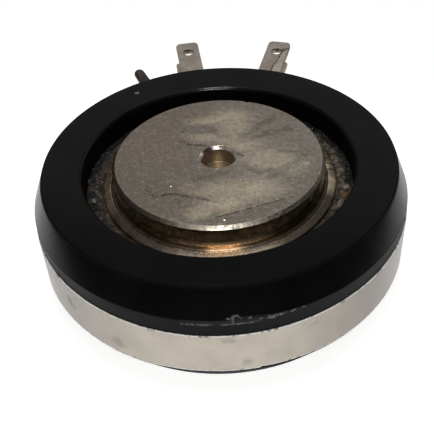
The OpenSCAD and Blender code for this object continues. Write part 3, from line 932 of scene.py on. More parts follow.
@dataclass(frozen=True)
class MetallisedSilicon(Finish):
    """Polished silicon with a metallised pattern of fine rings."""

    slot: str = "silicon"
    metal: Colour = (0.48, 0.47, 0.46)
    bare: Colour = (0.1, 0.11, 0.15)

    def paint(self, graph: Graph) -> None:
        """Paints metal rings with bare lines between them."""
        place = graph.position()
        x, y, _ = graph.split(place)
        radius = x.hypot(y)
        line = abs((radius * (math.tau / 2.4)).math("SINE")).ramp(0.1, 0.18)
        grain = graph.noise(place, 6.0, 3.0)
        graph.shade({
            "Base Color": graph.mix(line, self.bare, self.metal),
            "Metallic": 0.6 + 0.4 * line,
            "Roughness": 0.12 + 0.16 * line * grain,
            "Normal": graph.bump(0.003 * line + 0.001 * grain),
        })


@dataclass(frozen=True)
class PaleFloor(Finish):
    """Plain pale floor that gives back some light of its own, as a lit table does."""

    slot: str = "floor"
    tone: Colour = (0.86, 0.86, 0.85)
    glow: Colour = (1.0, 1.0, 0.99)

    def paint(self, graph: Graph) -> None:
        """Sets an even pale tone."""
        graph.shade({
            "Base Color": self.tone,
            "Roughness": 0.8,
            "Specular IOR Level": 0.1,
            "Emission Color": self.glow,
            "Emission Strength": 0.62,
        })


# Meshes


def new_piece(name: str, vertices: Sequence[Sequence[float]],
              faces: Sequence[Sequence[int]]) -> bpy.types.Object:
    """Makes an object from points in millimetres.

    Args:
        name: The piece's name.
        vertices: Points in the part's frame.
        faces: Rows of point numbers.

    Returns:
        The object, with merged doubles, faces outwards and smooth shading.
    """
    mesh = bpy.data.meshes.new(name)
    mesh.from_pydata([[MM * value for value in vertex] for vertex in vertices], [], faces)
    piece = bpy.data.objects.new(name, mesh)
    bpy.context.scene.collection.objects.link(piece)
    tidy(piece)
    return piece


def tidy(piece: bpy.types.Object) -> None:
    """Merges doubles, turns the faces outwards and shades smoothly up to sharp edges."""
    shape = bmesh.new()
    shape.from_mesh(piece.data)
    bmesh.ops.remove_doubles(shape, verts=shape.verts, dist=MERGE_M)
    loose = [edge for edge in shape.edges if not edge.link_faces]
    bmesh.ops.delete(shape, geom=loose, context="EDGES")
    bmesh.ops.recalc_face_normals(shape, faces=shape.faces)
    shape.to_mesh(piece.data)
    shape.free()
    piece.data.shade_smooth()
    piece.data.set_sharp_from_angle(angle=math.radians(SHARP_DEG))


def settle(piece: bpy.types.Object) -> None:
    """Turns a piece with modifiers into a plain mesh."""
    graph = bpy.context.evaluated_depsgraph_get()
    mesh = bpy.data.meshes.new_from_object(piece.evaluated_get(graph))
    old = piece.data
    piece.modifiers.clear()
    piece.data = mesh
    mesh.name = piece.name
    bpy.data.meshes.remove(old)


def carve(piece: bpy.types.Object, tools: Sequence[bpy.types.Object],
          operation: str = "DIFFERENCE") -> None:
    """Cuts tools out of a piece, or joins them to it, and removes them."""
    for tool in tools:
        modifier = piece.modifiers.new("carve", "BOOLEAN")
        modifier.operation = operation
        modifier.solver = "EXACT"
        modifier.object = tool
        settle(piece)
        bpy.data.objects.remove(tool)
    tidy(piece)


def store(piece: bpy.types.Object, name: str, value: Callable[[Vector], float]) -> None:
    """Stores a number on each vertex, worked out from its place in millimetres."""
    attribute = piece.data.attributes.get(name) or piece.data.attributes.new(name, "FLOAT", "POINT")
    attribute.data.foreach_set("value", [value(vertex.co / MM) for vertex in piece.data.vertices])


def bar(name: str, radius: float, start: float, end: float, height: float, turn: float,
        sides: int = 32) -> bpy.types.Object:
    """A round cutting bar along a radius of the disc, turned from +Y by an angle towards -X."""
    rings = []
    for y in (start, end):
        for i in range(sides):
            around = math.tau * i / sides
            rings.append(Vector((radius * math.cos(around), y, height + radius * math.sin(around))))
    faces = [(i, (i + 1) % sides, sides + (i + 1) % sides, sides + i) for i in range(sides)]
    faces += [tuple(range(sides)), tuple(range(sides, 2 * sides))]
    spin = Matrix.Rotation(math.radians(turn), 3, "Z")
    return new_piece(name, [spin @ point for point in rings], faces)


def block(name: str, low: Vector, high: Vector, turn: float) -> bpy.types.Object:
    """A cutting block along +Y, turned from +Y by an angle towards -X."""
    spin = Matrix.Rotation(math.radians(turn), 3, "Z")
    xs, ys, zs = zip(low, high)
    corners = [spin @ Vector((x, y, z)) for x in xs for y in ys for z in zs]
    faces = [(0, 1, 3, 2), (4, 6, 7, 5), (0, 4, 5, 1), (2, 3, 7, 6), (0, 2, 6, 4), (1, 5, 7, 3)]
    return new_piece(name, corners, faces)


@dataclass(frozen=True)
class Corner:
    """A corner of a section, with its rounding and the pitch of the run that follows it."""

    r: float
    z: float
    rounding: float = 0.0
    pitch: float = 1.0

    def arc(self, before: "Corner", after: "Corner", steps: int = 6) -> list[Point]:
        """The points of this corner, which are an arc where it is rounded."""
        here = Vector((self.r, self.z))
        if not self.rounding:
            return [(self.r, self.z)]
        to_before = (Vector((before.r, before.z)) - here).normalized()
        to_after = (Vector((after.r, after.z)) - here).normalized()
        half = to_before.angle(to_after) / 2.0
        centre = here + (to_before + to_after).normalized() * self.rounding / math.sin(half)
        first = here + to_before * self.rounding / math.tan(half) - centre
        last = here + to_after * self.rounding / math.tan(half) - centre
        arc = []
        for i in range(steps + 1):
            blend = first.lerp(last, i / steps).normalized() * self.rounding
            arc.append(tuple(centre + blend))
        return arc


def outline_of(corners: Sequence[Corner], closed: bool = True) -> list[Point]:
    """The section's points, with rounded corners and its runs split to their pitch."""
    points: list[Point] = []
    count = len(corners)
    for i, corner in enumerate(corners):
        before, after = corners[i - 1], corners[(i + 1) % count]
        points += corner.arc(before, after)
        if i == count - 1 and not closed:
            break
        start = Vector(points[-1])
        end = Vector(after.arc(corner, corners[(i + 2) % count])[0])
        pieces = max(1, math.ceil((end - start).length / corner.pitch))
        points += [tuple(start.lerp(end, k / pieces)) for k in range(1, pieces)]
    return points


@dataclass(frozen=True)
class Lathe:
    """A section that is turned about the disc's axis."""

    outline: Sequence[Point]
    angles: Sequence[float]
    closed: bool = True

    def build(self, name: str, shift: Shift | None = None) -> bpy.types.Object:
        """Makes the turned mesh.

        Args:
            name: The piece's name.
            shift: Moves a section point, from its angle, radius and height to a new radius and height.

        Returns:
            The object.
        """
        vertices = []
        for angle in self.angles:
            turn = math.radians(angle)
            for r, z in self.outline:
                r, z = shift(angle, r, z) if shift else (r, z)
                vertices.append((r * math.cos(turn), r * math.sin(turn), z))
        count, turns = len(self.outline), len(self.angles)
        faces = []
        for i in range(turns):
            here, there = i * count, (i + 1) % turns * count
            for j in range(count if self.closed else count - 1):
                following = (j + 1) % count
                faces.append((here + j, there + j, there + following, here + following))
        return new_piece(name, vertices, faces)


def shell_faces(columns: int, rows: int) -> list[Face]:
    """Faces of a closed shell of an outer and an inner layer of points, each on a grid."""
    stride = rows + 1
    inner = stride * (columns + 1)
    faces: list[Face] = []
    for i in range(columns):
        for j in range(rows):
            a = i * stride + j
            b = a + stride
            faces.append((a, b, b + 1, a + 1))
            faces.append((inner + a, inner + a + 1, inner + b + 1, inner + b))
        for j in (0, rows):
            a = i * stride + j
            faces.append((a, a + stride, inner + a + stride, inner + a))
    for i in (0, columns):
        for j in range(rows):
            a = i * stride + j
            faces.append((a, a + 1, inner + a + 1, inner + a))
    return faces


def full_turn(step: float) -> list[float]:
    """Angles of a whole turn, from -180 upwards."""
    count = round(360.0 / step)
    return [-180.0 + 360.0 * i / count for i in range(count)]


def fine_turn(coarse: float, fine: float, start: float, end: float) -> list[float]:
    """Angles of a whole turn, with a finer step between two angles."""
    angles = [angle for angle in full_turn(coarse) if not start <= angle <= end]
    count = round((end - start) / fine)
    return sorted(angles + [start + (end - start) * i / count for i in range(count + 1)])


def hand_over(piece: bpy.types.Object, finish: Finish, *nodes: str) -> None:
    """Gives a piece its finish and lets it stand for CAD nodes."""
    piece.data.materials.clear()
    piece.data.materials.append(finish.material())
    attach(piece, BODY)
    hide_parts(*nodes)
    LOG.info("%s stands for %s: %d faces", piece.name, ", ".join(nodes), len(piece.data.polygons))


# Geometry Nodes


class NodeShape:
    """A Geometry Nodes tree with named inputs."""

    def __init__(self, name: str, *sizes: str, seeded: bool = False) -> None:
        """Makes the tree with inputs for the geometry, these sizes, a seed if told, and the material."""
        self.tree = bpy.data.node_groups.new(name, "GeometryNodeTree")
        self.graph = Graph(self.tree)
        kinds = {"Geometry": "NodeSocketGeometry", **dict.fromkeys(sizes, "NodeSocketFloat")}
        if seeded:
            kinds["Seed"] = "NodeSocketInt"
        kinds["Material"] = "NodeSocketMaterial"
        for key, kind in kinds.items():
            self.tree.interface.new_socket(key, in_out="INPUT", socket_type=kind)
        self.tree.interface.new_socket("Geometry", in_out="OUTPUT", socket_type="NodeSocketGeometry")
        self.source = self.graph.node("NodeGroupInput")

    def given(self, name: str) -> Value:
        """The value of a named input."""
        return self.source.sibling(name)

    def close(self, geometry: Value) -> None:
        """Realises the instances, sets the material and ends the tree."""
        real = self.graph.node("GeometryNodeRealizeInstances", inputs={"Geometry": geometry})
        dressed = self.graph.node("GeometryNodeSetMaterial", inputs={
            "Geometry": real, "Material": self.given("Material")})
        self.graph.node("NodeGroupOutput", inputs={"Geometry": dressed})

    def apply(self, piece: bpy.types.Object, values: dict) -> None:
        """Runs the tree on a piece with these values and keeps the result as a plain mesh."""
        modifier = piece.modifiers.new(self.tree.name, "NODES")
        modifier.node_group = self.tree
        for item in self.tree.interface.items_tree:
            if item.in_out == "INPUT" and item.name in values:
                modifier[item.identifier] = values[item.name]
        settle(piece)


def lumpy_bead() -> NodeShape:
    """A tree that roughens a bead's crown and strews grit on it."""
    shape = NodeShape("lumpy_bead", "Lump Height", "Lumps per Metre", "Grit Density", "Grit Radius", "Up",
                      seeded=True)
    graph = shape.graph
    crown = graph.node("GeometryNodeInputNamedAttribute", {"data_type": "FLOAT"}, {"Name": "crown"})
    place = graph.node("GeometryNodeInputPosition")
    coarse = graph.node("ShaderNodeTexNoise", inputs={
        "Vector": place, "Scale": shape.given("Lumps per Metre"), "Detail": 4.0, "Roughness": 0.6})
    lift = (coarse - 0.48) * shape.given("Lump Height") * crown * shape.given("Up")
    offset = graph.node("ShaderNodeCombineXYZ", inputs={"Z": lift})
    rough = graph.node("GeometryNodeSetPosition", inputs={"Geometry": shape.source, "Offset": offset})
    points = graph.node("GeometryNodeDistributePointsOnFaces", inputs={
        "Mesh": rough, "Selection": crown,
        "Density": shape.given("Grit Density"), "Seed": shape.given("Seed")})
    grain = graph.node("GeometryNodeMeshIcoSphere", inputs={
        "Radius": shape.given("Grit Radius"), "Subdivisions": 1})
    marked = graph.node("GeometryNodeStoreNamedAttribute", {"data_type": "FLOAT"}, {
        "Geometry": grain, "Name": "grit", "Value": 1.0})
    sizes = graph.node("FunctionNodeRandomValue", {"data_type": "FLOAT_VECTOR"}, {
        "Min": (0.3, 0.3, 0.25), "Max": (1.5, 1.3, 0.9), "Seed": shape.given("Seed")})
    turns = graph.node("FunctionNodeRandomValue", {"data_type": "FLOAT_VECTOR"}, {
        "Max": (math.tau, math.tau, math.tau), "Seed": shape.given("Seed")})
    spins = graph.node("FunctionNodeEulerToRotation", inputs={"Euler": turns})
    strewn = graph.node("GeometryNodeInstanceOnPoints", inputs={
        "Points": points, "Instance": marked, "Rotation": spins, "Scale": sizes})
    shape.close(graph.node("GeometryNodeJoinGeometry", inputs={"Geometry": [rough, strewn]}))
    return shape


def wire_coil() -> NodeShape:
    """A tree that sweeps a round wire along a coil on the disc's axis."""
    shape = NodeShape("wire_coil", "Turns", "Coil Radius", "Rise", "Start Height", "Wire Radius")
    graph = shape.graph
    coil = graph.node("GeometryNodeCurveSpiral", inputs={
        "Resolution": 40, "Rotations": shape.given("Turns"), "Start Radius": shape.given("Coil Radius"),
        "End Radius": shape.given("Coil Radius"), "Height": shape.given("Rise")})
    lift = graph.node("ShaderNodeCombineXYZ", inputs={"Z": shape.given("Start Height")})
    placed = graph.node("GeometryNodeSetPosition", inputs={"Geometry": coil, "Offset": lift})
    wire = graph.node("GeometryNodeCurvePrimitiveCircle", inputs={
        "Resolution": 14, "Radius": shape.given("Wire Radius")})
    shape.close(graph.node("GeometryNodeCurveToMesh", inputs={
        "Curve": placed, "Profile Curve": wire, "Fill Caps": True}))
    return shape


# Sub-assemblies


@dataclass(frozen=True)
class Mark:
    """A pale scratch on the ring's edge, between two places given by angle and height above the edge."""

    angle: float
    height: float
    end_angle: float
    end_height: float
    half_width: float = 0.13
    mm_per_degree: float = 0.358

    def strength(self, angle: float, height: float) -> float:
        """1 on the scratch, falling to 0 at its half width."""
        start = Vector((self.angle * self.mm_per_degree, self.height))
        along = Vector((self.end_angle * self.mm_per_degree, self.end_height)) - start
        local = Vector((angle * self.mm_per_degree, height)) - start
        share = min(1.0, max(0.0, local.dot(along) / along.length_squared))
        return smooth(self.half_width, 0.3 * self.half_width, (local - share * along).length)


@dataclass(frozen=True)
class EdgeWear:
    """The chipped stretch along the lower edge of the upper bevel, with pale scratches in it."""

    edge_z: float
    start: float = -98.0
    end: float = -63.0
    low: float = -0.47
    low_rise: float = 0.17
    top: float = 0.03
    step_start: float = -81.5
    step_end: float = -68.0
    step_h: float = 0.34
    lump_at: float = -82.2
    lump_half: float = 1.7
    lump_h: float = 0.46
    depth: float = 0.035
    softness: float = 0.06
    fade: float = 4.0
    line: tuple[Point, ...] = ((-97.0, -87.8), (-86.8, -75.0))
    line_half: float = 0.14
    marks: tuple[Mark, ...] = (
        Mark(-82.8, 0.43, -81.6, 0.45), Mark(-81.6, 0.45, -80.8, 0.16),
        Mark(-83.1, 0.34, -83.1, -0.28, 0.18), Mark(-84.4, 0.22, -84.0, 0.2),
        Mark(-78.7, 0.08, -78.3, 0.12), Mark(-75.8, -0.16, -75.3, -0.13),
        Mark(-73.7, -0.02, -73.3, -0.06), Mark(-73.8, -0.26, -72.2, -0.33, 0.16),
        Mark(-72.8, -0.28, -71.8, -0.02, 0.16), Mark(-71.5, -0.2, -70.2, -0.02),
        Mark(-70.3, -0.24, -69.2, 0.0), Mark(-67.5, -0.16, -66.5, -0.03),
        Mark(-64.5, 0.0, -63.6, -0.06, 0.07),
    )

    def low_border(self, angle: float) -> float:
        """Height of the chips' lower border above the edge."""
        return self.low + self.low_rise * smooth(-80.0, -64.0, angle) + 0.03 * ripple(angle * 0.6, 2.0)

    def top_border(self, angle: float) -> float:
        """Height of the chips' upper border above the edge."""
        step = self.step_h * smooth(self.step_start, self.step_start + 1.0, angle)
        step *= max(0.0, (self.step_end - angle) / (self.step_end - self.step_start))
        lump = self.lump_h * smooth(self.lump_half, 0.4, abs(angle - self.lump_at))
        return max(self.top, step, lump) + 0.03 * ripple(angle * 1.3, 5.0)

    def share(self, angle: float, z: float) -> float:
        """1 in the chips, 0 outside them and between on their border."""
        height = z - self.edge_z
        low, top = self.low_border(angle), self.top_border(angle)
        inside = smooth(low - self.softness, low + self.softness, height)
        inside *= smooth(top + self.softness, top - self.softness, height)
        inside *= smooth(self.start, self.start + self.fade, angle)
        return inside * smooth(self.end, self.end - self.fade, angle)

    def rub(self, angle: float, z: float) -> float:
        """How pale a point is rubbed: on the chips' lower border and on the scratches."""
        height = z - self.edge_z
        along = max(
            smooth(first, first + 1.0, angle) * smooth(last, last - 1.5, angle)
            for first, last in self.line)
        line = along * smooth(self.line_half, 0.02, abs(height - self.low_border(angle)))
        faint = line * (0.7 + 0.4 * ripple(angle * 0.45, 7.0))
        return max(faint, max(mark.strength(angle, height) for mark in self.marks))


@dataclass
class Housing:
    """The moulded ring, its foil label and its filler stub."""

    outer_r: float
    low_z: float
    top_z: float
    label_r: float
    label_low_z: float
    label_top_z: float
    opening_r: float = 14.7
    bore_r: float = 13.6
    upper_bevel_h: float = 3.3
    upper_bevel_w: float = 1.3
    lower_bevel_h: float = 3.0
    lower_bevel_w: float = 2.0
    opening_edge_r: float = 0.5
    opening_lean: float = 0.45
    outer_edge_r: float = 0.2
    fine_above: float = 1.1
    fine_below: float = 0.75
    fine_pitch: float = 0.06
    turn_step: float = 1.0
    chip_step: float = 0.22
    seat_depth: float = SEAT_DEPTH
    lead_z: float = LEAD_Z
    lead_r: float = LEAD_R
    root_r: float = ROOT_R
    tab_half_w: float = TAB_HALF_W
    tab_half_t: float = TAB_HALF_T
    tab_turn: float = TAB_TURN
    stub_turn: float = 27.0
    stub_r: float = 0.95
    stub_tip_r: float = 0.675
    stub_l: float = 8.4
    stub_depth: float = 3.0
    label_t: float = 0.12
    label_half_span: float = 105.0
    label_columns: int = 840
    label_rows: int = 18
    nick_at: float = -75.5
    fit_gap: float = FIT_GAP

    @property
    def wear(self) -> EdgeWear:
        """The chips along the upper bevel's lower edge."""
        return EdgeWear(self.top_z - self.upper_bevel_h)

    def ring_outline(self, stack_h: float) -> list[Point]:
        """The ring's section, split finely above and below the chipped edge."""
        face_r = self.outer_r - self.upper_bevel_w
        bevel_z = self.top_z - self.upper_bevel_h
        fine_r = self.outer_r - self.upper_bevel_w * self.fine_above / self.upper_bevel_h
        seat_low, seat_top = self.seat_depth, stack_h - self.seat_depth
        return outline_of([
            Corner(self.opening_r, self.top_z, self.opening_edge_r),
            Corner(face_r, self.top_z, self.outer_edge_r, 0.6),
            Corner(fine_r, bevel_z + self.fine_above, 0.0, self.fine_pitch),
            Corner(self.outer_r, bevel_z, self.outer_edge_r, self.fine_pitch),
            Corner(self.outer_r, bevel_z - self.fine_below, 0.0, 1.2),
            Corner(self.outer_r, self.low_z + self.lower_bevel_h, self.outer_edge_r),
            Corner(self.outer_r - self.lower_bevel_w, self.low_z, self.outer_edge_r),
            Corner(self.opening_r, self.low_z, self.opening_edge_r),
            Corner(self.opening_r, seat_low),
            Corner(self.bore_r, seat_low),
            Corner(self.bore_r, seat_top),
            Corner(self.opening_r, seat_top),
        ])

    def build_ring(self, stack_h: float) -> None:
        """Turns the ring, chips its edge and cuts the pockets for the tabs, leads and stub."""
        wear = self.wear
        seat_top = stack_h - self.seat_depth

        def chipped(angle: float, r: float, z: float) -> Point:
            """Sinks the chips and lets the moulded faces wander a little."""
            if r > self.outer_r - self.upper_bevel_w:
                r -= wear.depth * wear.share(angle, z) * (0.7 + 0.5 * ripple(angle * 4.0, z * 5.0))
                r += 0.006 * ripple(angle * 0.08, z * 0.3, 4.0)
            elif r < self.opening_r + 1.0:
                r -= self.opening_lean * math.sin(math.radians(angle)) * smooth(seat_top, self.top_z, z)
            return r, z

        angles = fine_turn(self.turn_step, self.chip_step, wear.start, wear.end)
        ring = Lathe(self.ring_outline(stack_h), angles).build("moulded_ring", chipped)
        tools = []
        for turn in (self.tab_turn, -self.tab_turn):
            low = Vector((-self.tab_half_w, self.root_r, self.lead_z - self.tab_half_t))
            high = Vector((self.tab_half_w, self.outer_r + OVERCUT, self.lead_z + self.tab_half_t))
            room = Vector((self.fit_gap, self.fit_gap, self.fit_gap))
            tools.append(block("pocket", low - room, high + room, turn))
            tools.append(bar("lead_way", self.lead_r + self.fit_gap, self.bore_r - OVERCUT, self.root_r,
                             self.lead_z, turn))
        stub_start = self.outer_r - self.stub_depth - self.fit_gap
        tools.append(bar("stub_way", self.stub_r + self.fit_gap, stub_start, self.outer_r + OVERCUT,
                         self.lead_z, self.stub_turn))
        carve(ring, tools)
        store(ring, "wear", lambda place: self.on_edge(place, wear.share))
        store(ring, "rub", lambda place: self.on_edge(place, wear.rub))
        face_r = self.outer_r - self.upper_bevel_w
        finish = HousingPlastic(self.top_z, face_r, self.outer_r, self.opening_r, self.label_low_z,
                                self.opening_lean, seat_top)
        hand_over(ring, finish, "housing_ring")

    def on_edge(self, place: Vector, share: Callable[[float, float], float]) -> float:
        """A share of the edge's wear at a point of the ring, which is 0 inside the ring."""
        if place.xy.length < self.outer_r - self.upper_bevel_w:
            return 0.0
        return share(math.degrees(math.atan2(place.y, place.x)), place.z)

    def build_label(self) -> None:
        """Wraps the foil round the side, with wrinkles, a nick and slightly lifted edges."""
        columns = self.label_columns
        border = [0.0, 0.006, 0.013, 0.022, 0.036]
        middle = [0.06 + 0.88 * k / self.label_rows for k in range(self.label_rows + 1)]
        shares = border + middle + [1.0 - share for share in reversed(border)]
        height = self.label_top_z - self.label_low_z
        vertices = []
        for layer in (0, 1):
            for i in range(columns + 1):
                angle = -90.0 - self.label_half_span + 2.0 * self.label_half_span * i / columns
                turn = math.radians(angle)
                low = self.label_low_z + self.trim(angle)
                top = self.label_top_z - self.fray(angle)
                for share in shares:
                    z = low + (top - low) * share
                    wrinkle = 0.012 * ripple(angle * 0.22, z * 0.35, 7.0)
                    wrinkle += 0.006 * ripple(angle * 0.9, z * 0.8, 2.0)
                    near_edge = max(smooth(0.95, 1.0, share), smooth(0.05, 0.0, share))
                    lift = 0.02 * near_edge * ripple(angle * 0.3, 5.0)
                    r = self.label_r - self.label_t if layer else self.label_r + wrinkle + lift - 0.015
                    vertices.append((r * math.cos(turn), r * math.sin(turn), z))
        label = new_piece("foil_label", vertices, shell_faces(columns, len(shares) - 1))
        insets = [height * min(share, 1.0 - share) for share in shares]
        attribute = label.data.attributes.new("inset", "FLOAT", "POINT")
        attribute.data.foreach_set("value", insets * (2 * (columns + 1)))
        hand_over(label, LabelFoil(self.label_r), "label_band")

    def trim(self, angle: float) -> float:
        """How far the label's lower edge is cut short at an angle."""
        notch = 0.16 * smooth(0.9, 0.1, abs(angle - self.nick_at))
        step = 0.1 * smooth(self.nick_at - 0.8, self.nick_at, angle)
        step *= smooth(self.nick_at + 26.0, self.nick_at, angle)
        return 0.17 + max(notch, step) + 0.015 * (1.0 + ripple(angle * 0.7, 1.0))

    def fray(self, angle: float) -> float:
        """How far the label's upper edge is worn down at an angle."""
        worst = smooth(-130.0, -108.0, angle) * smooth(-74.0, -92.0, angle)
        bites = max(0.0, ripple(angle * 0.55, 11.0)) * 0.14 + max(0.0, ripple(angle * 1.9, 17.0)) * 0.12
        sag = 0.36 - 0.32 * smooth(0.0, 52.0, abs(angle + 88.0))
        return sag + 0.012 * (1.0 + ripple(angle * 0.4, 2.0)) + worst * bites

    def build_stub(self) -> None:
        """Turns the stub, bends its skin a little and plugs it into the wall."""
        outline = outline_of([
            Corner(0.0, -self.stub_depth),
            Corner(self.stub_r, -self.stub_depth, 0.0, 0.4),
            Corner(self.stub_r, 0.0, 0.0, 0.3),
            Corner(self.stub_tip_r * 1.04, self.stub_l - self.stub_tip_r * 0.8, 0.3, 0.12),
            Corner(self.stub_tip_r * 0.55, self.stub_l - 0.05, 0.2, 0.1),
            Corner(0.0, self.stub_l),
        ], closed=False)

        def cast(angle: float, r: float, z: float) -> Point:
            """Gives the cast skin soft dents outside the wall."""
            free = smooth(0.2, 1.2, z)
            return r * (1.0 + 0.06 * free * ripple(angle * 0.012, z * 0.5, 3.0)), z

        stub = Lathe(outline, full_turn(7.5), closed=False).build("resin_stub", cast)
        lay = Matrix.Rotation(math.radians(-90.0), 4, "X")
        push = Matrix.Translation(Vector((0.0, self.outer_r, self.lead_z)) * MM)
        spin = Matrix.Rotation(math.radians(self.stub_turn), 4, "Z")
        stub.data.transform(spin @ push @ lay)
        hand_over(stub, CastResin(), "filler_stub")


@dataclass
class ContactSide:
    """A pole piece, its sheet flange and the sealing bead round it, on one side of the disc."""

    side: Side
    stack_h: float
    pole_h: float
    shoulder_r: float
    shoulder_step: float = 0.6
    edge: float = 0.35
    edge_r: float = 0.12
    hole_r: float = 1.75
    hole_depth: float = 2.0
    hole_edge: float = 0.3
    root_edge: float = 0.3
    seat_depth: float = SEAT_DEPTH
    sheet_t: float = 0.4
    rim_gap: float = 0.4
    rim_w: float = 0.9
    rim_h: float = 0.8
    rim_drop: float = 0.4
    braze_h: float = 0.75
    rim_sag: float = 0.28
    flange_r: float = 14.45
    wall_r: float = 14.68
    seal_gap: float = 0.12
    bead_h: float = 0.32
    lump_h: float = 0.9
    lumps_per_m: float = 1500.0
    grit_per_m2: float = 1.8e6
    grit_r: float = 0.075
    grit_seed: int = 11
    fit_gap: float = FIT_GAP
    pole_step: float = 0.8
    ring_step: float = 0.5
    nick_at: float = 76.0
    dents_at: tuple[float, ...] = (6.2, 8.6, 11.0)

    @property
    def contact_r(self) -> float:
        """The radius of the pole piece above its shoulder."""
        return self.shoulder_r - self.shoulder_step

    @property
    def up(self) -> float:
        """1 where this side's face points up and -1 where it points down."""
        return 1.0 if self.side is Side.CATHODE else -1.0

    def height(self, depth: float) -> float:
        """The height of a point at a depth below this side's contact face."""
        return self.stack_h - depth if self.side is Side.CATHODE else depth

    def corner(self, r: float, depth: float, rounding: float = 0.0, pitch: float = 1.0) -> Corner:
        """A section corner at a depth below this side's contact face."""
        return Corner(r, self.height(depth), rounding, pitch)

    def build_pole(self, tools: Sequence[bpy.types.Object] = ()) -> None:
        """Turns the pole piece, dents its edge a little and cuts what the gate needs.

        Args:
            tools: Cutters for the gate cavity and the leads.
        """
        outline = outline_of([
            self.corner(0.0, self.hole_depth),
            self.corner(self.hole_r, self.hole_depth, 0.08),
            self.corner(self.hole_r, self.hole_edge, 0.1),
            self.corner(self.hole_r + self.hole_edge, 0.0, 0.1, 1.2),
            self.corner(self.contact_r - self.edge, 0.0, self.edge_r, 0.2),
            self.corner(self.contact_r, self.edge, self.edge_r, 0.8),
            self.corner(self.contact_r, self.seat_depth),
            self.corner(self.shoulder_r, self.seat_depth),
            self.corner(self.shoulder_r, self.pole_h - self.root_edge),
            self.corner(self.shoulder_r - self.root_edge, self.pole_h, 0.0, 2.0),
            self.corner(0.0, self.pole_h),
        ], closed=False)
        face_z = self.height(0.0)

        def worn(angle: float, r: float, z: float) -> Point:
            """Wears the face's edge unevenly and nicks it in one place."""
            if r > self.contact_r - self.edge - 0.2 and abs(z - face_z) < self.edge + 0.2:
                dent = max(0.0, ripple(angle * 0.35, 6.0, z)) * 0.05 + 0.012 * ripple(angle * 1.7, 2.0)
                if self.side is Side.CATHODE:
                    dent += 0.16 * smooth(1.6, 0.2, abs(angle - self.nick_at))
                r -= dent * smooth(self.edge + 0.15, 0.0, abs(z - face_z))
            return r, z

        turned = Lathe(outline, full_turn(self.pole_step), closed=False)
        pole = turned.build(f"{self.side.value}_pole_turned", worn)
        if tools:
            carve(pole, tools)
        finish = NickelPlate(self.side, face_z, self.contact_r, self.hole_r)
        hand_over(pole, finish, f"{self.side.value}_pole")

    def build_flange(self) -> None:
        """Turns the sheet flange, with a wandering rim and a few dents across it."""
        rim_in = self.contact_r + self.rim_gap
        rim_out = rim_in + self.rim_w
        sheet = self.seat_depth - self.sheet_t
        outline = outline_of([
            self.corner(self.contact_r + self.fit_gap, self.seat_depth),
            self.corner(self.contact_r + self.fit_gap, sheet - self.braze_h),
            self.corner(self.contact_r + 0.08, sheet - 0.8 * self.braze_h, 0.0, 0.1),
            self.corner(rim_in - 0.15, sheet - 0.62 * self.braze_h, 0.1, 0.1),
            self.corner(rim_in, sheet - self.rim_h, 0.1, 0.1),
            self.corner(rim_out, sheet - self.rim_h + self.rim_drop, 0.25, 0.2),
            self.corner(rim_out, sheet, 0.0, 0.5),
            self.corner(self.flange_r, sheet),
            self.corner(self.flange_r, self.seat_depth),
        ])
        crown_z = self.height(sheet - self.rim_h)
        sheet_z = self.height(sheet)

        def beaten(angle: float, r: float, z: float) -> Point:
            """Lowers the rim unevenly and presses the dents into it."""
            share = (z - sheet_z) / (crown_z - sheet_z)
            sink = 0.03 * (1.0 + ripple(angle * 0.12, 8.0)) + 0.012 * ripple(angle * 0.9, r * 2.0)
            if self.side is Side.CATHODE:
                sink += sum(0.1 * smooth(0.9, 0.1, abs(angle - dent)) for dent in self.dents_at)
                sink += self.rim_sag * smooth(75.0, 25.0, abs(angle - CAMERA_SIDE_DEG))
            share = max(0.0, share)
            return r + 0.02 * ripple(angle * 0.15, 3.0) * share, z - self.up * sink * share

        flange = Lathe(outline, full_turn(self.ring_step)).build(f"{self.side.value}_flange_sheet", beaten)
        hand_over(flange, FlangeSheet(rim_out, rim_in), f"{self.side.value}_flange")

    def build_seal(self, shape: NodeShape) -> None:
        """Turns the bead and lets the node tree roughen it and strew grit on it.

        Args:
            shape: The tree that makes a bead lumpy.
        """
        inner = self.contact_r + self.rim_gap + self.rim_w + self.seal_gap
        sheet = self.seat_depth - self.sheet_t
        outline = outline_of([
            self.corner(inner, sheet),
            self.corner(inner, sheet - self.bead_h / 3.0, 0.04, 0.11),
            self.corner((inner + self.wall_r) / 2.0, sheet - self.bead_h, 0.1, 0.11),
            self.corner(self.wall_r, sheet - self.bead_h),
            self.corner(self.wall_r, self.seat_depth),
            self.corner(self.flange_r + self.fit_gap, self.seat_depth),
            self.corner(self.flange_r + self.fit_gap, sheet),
        ])
        bead = Lathe(outline, full_turn(self.ring_step)).build(f"{self.side.value}_seal_bead")
        sheet_z = self.height(sheet)
        store(bead, "crown", lambda place: smooth(0.02, 0.1, (place.z - sheet_z) * self.up))
        finish = SealResin(self.wall_r)
        shape.apply(bead, {
            "Lump Height": self.lump_h * MM, "Lumps per Metre": self.lumps_per_m,
            "Grit Density": self.grit_per_m2, "Grit Radius": self.grit_r * MM,
            "Up": self.up, "Seed": self.grit_seed, "Material": finish.material()})
        tidy(bead)
        hand_over(bead, finish, f"{self.side.value}_seal")


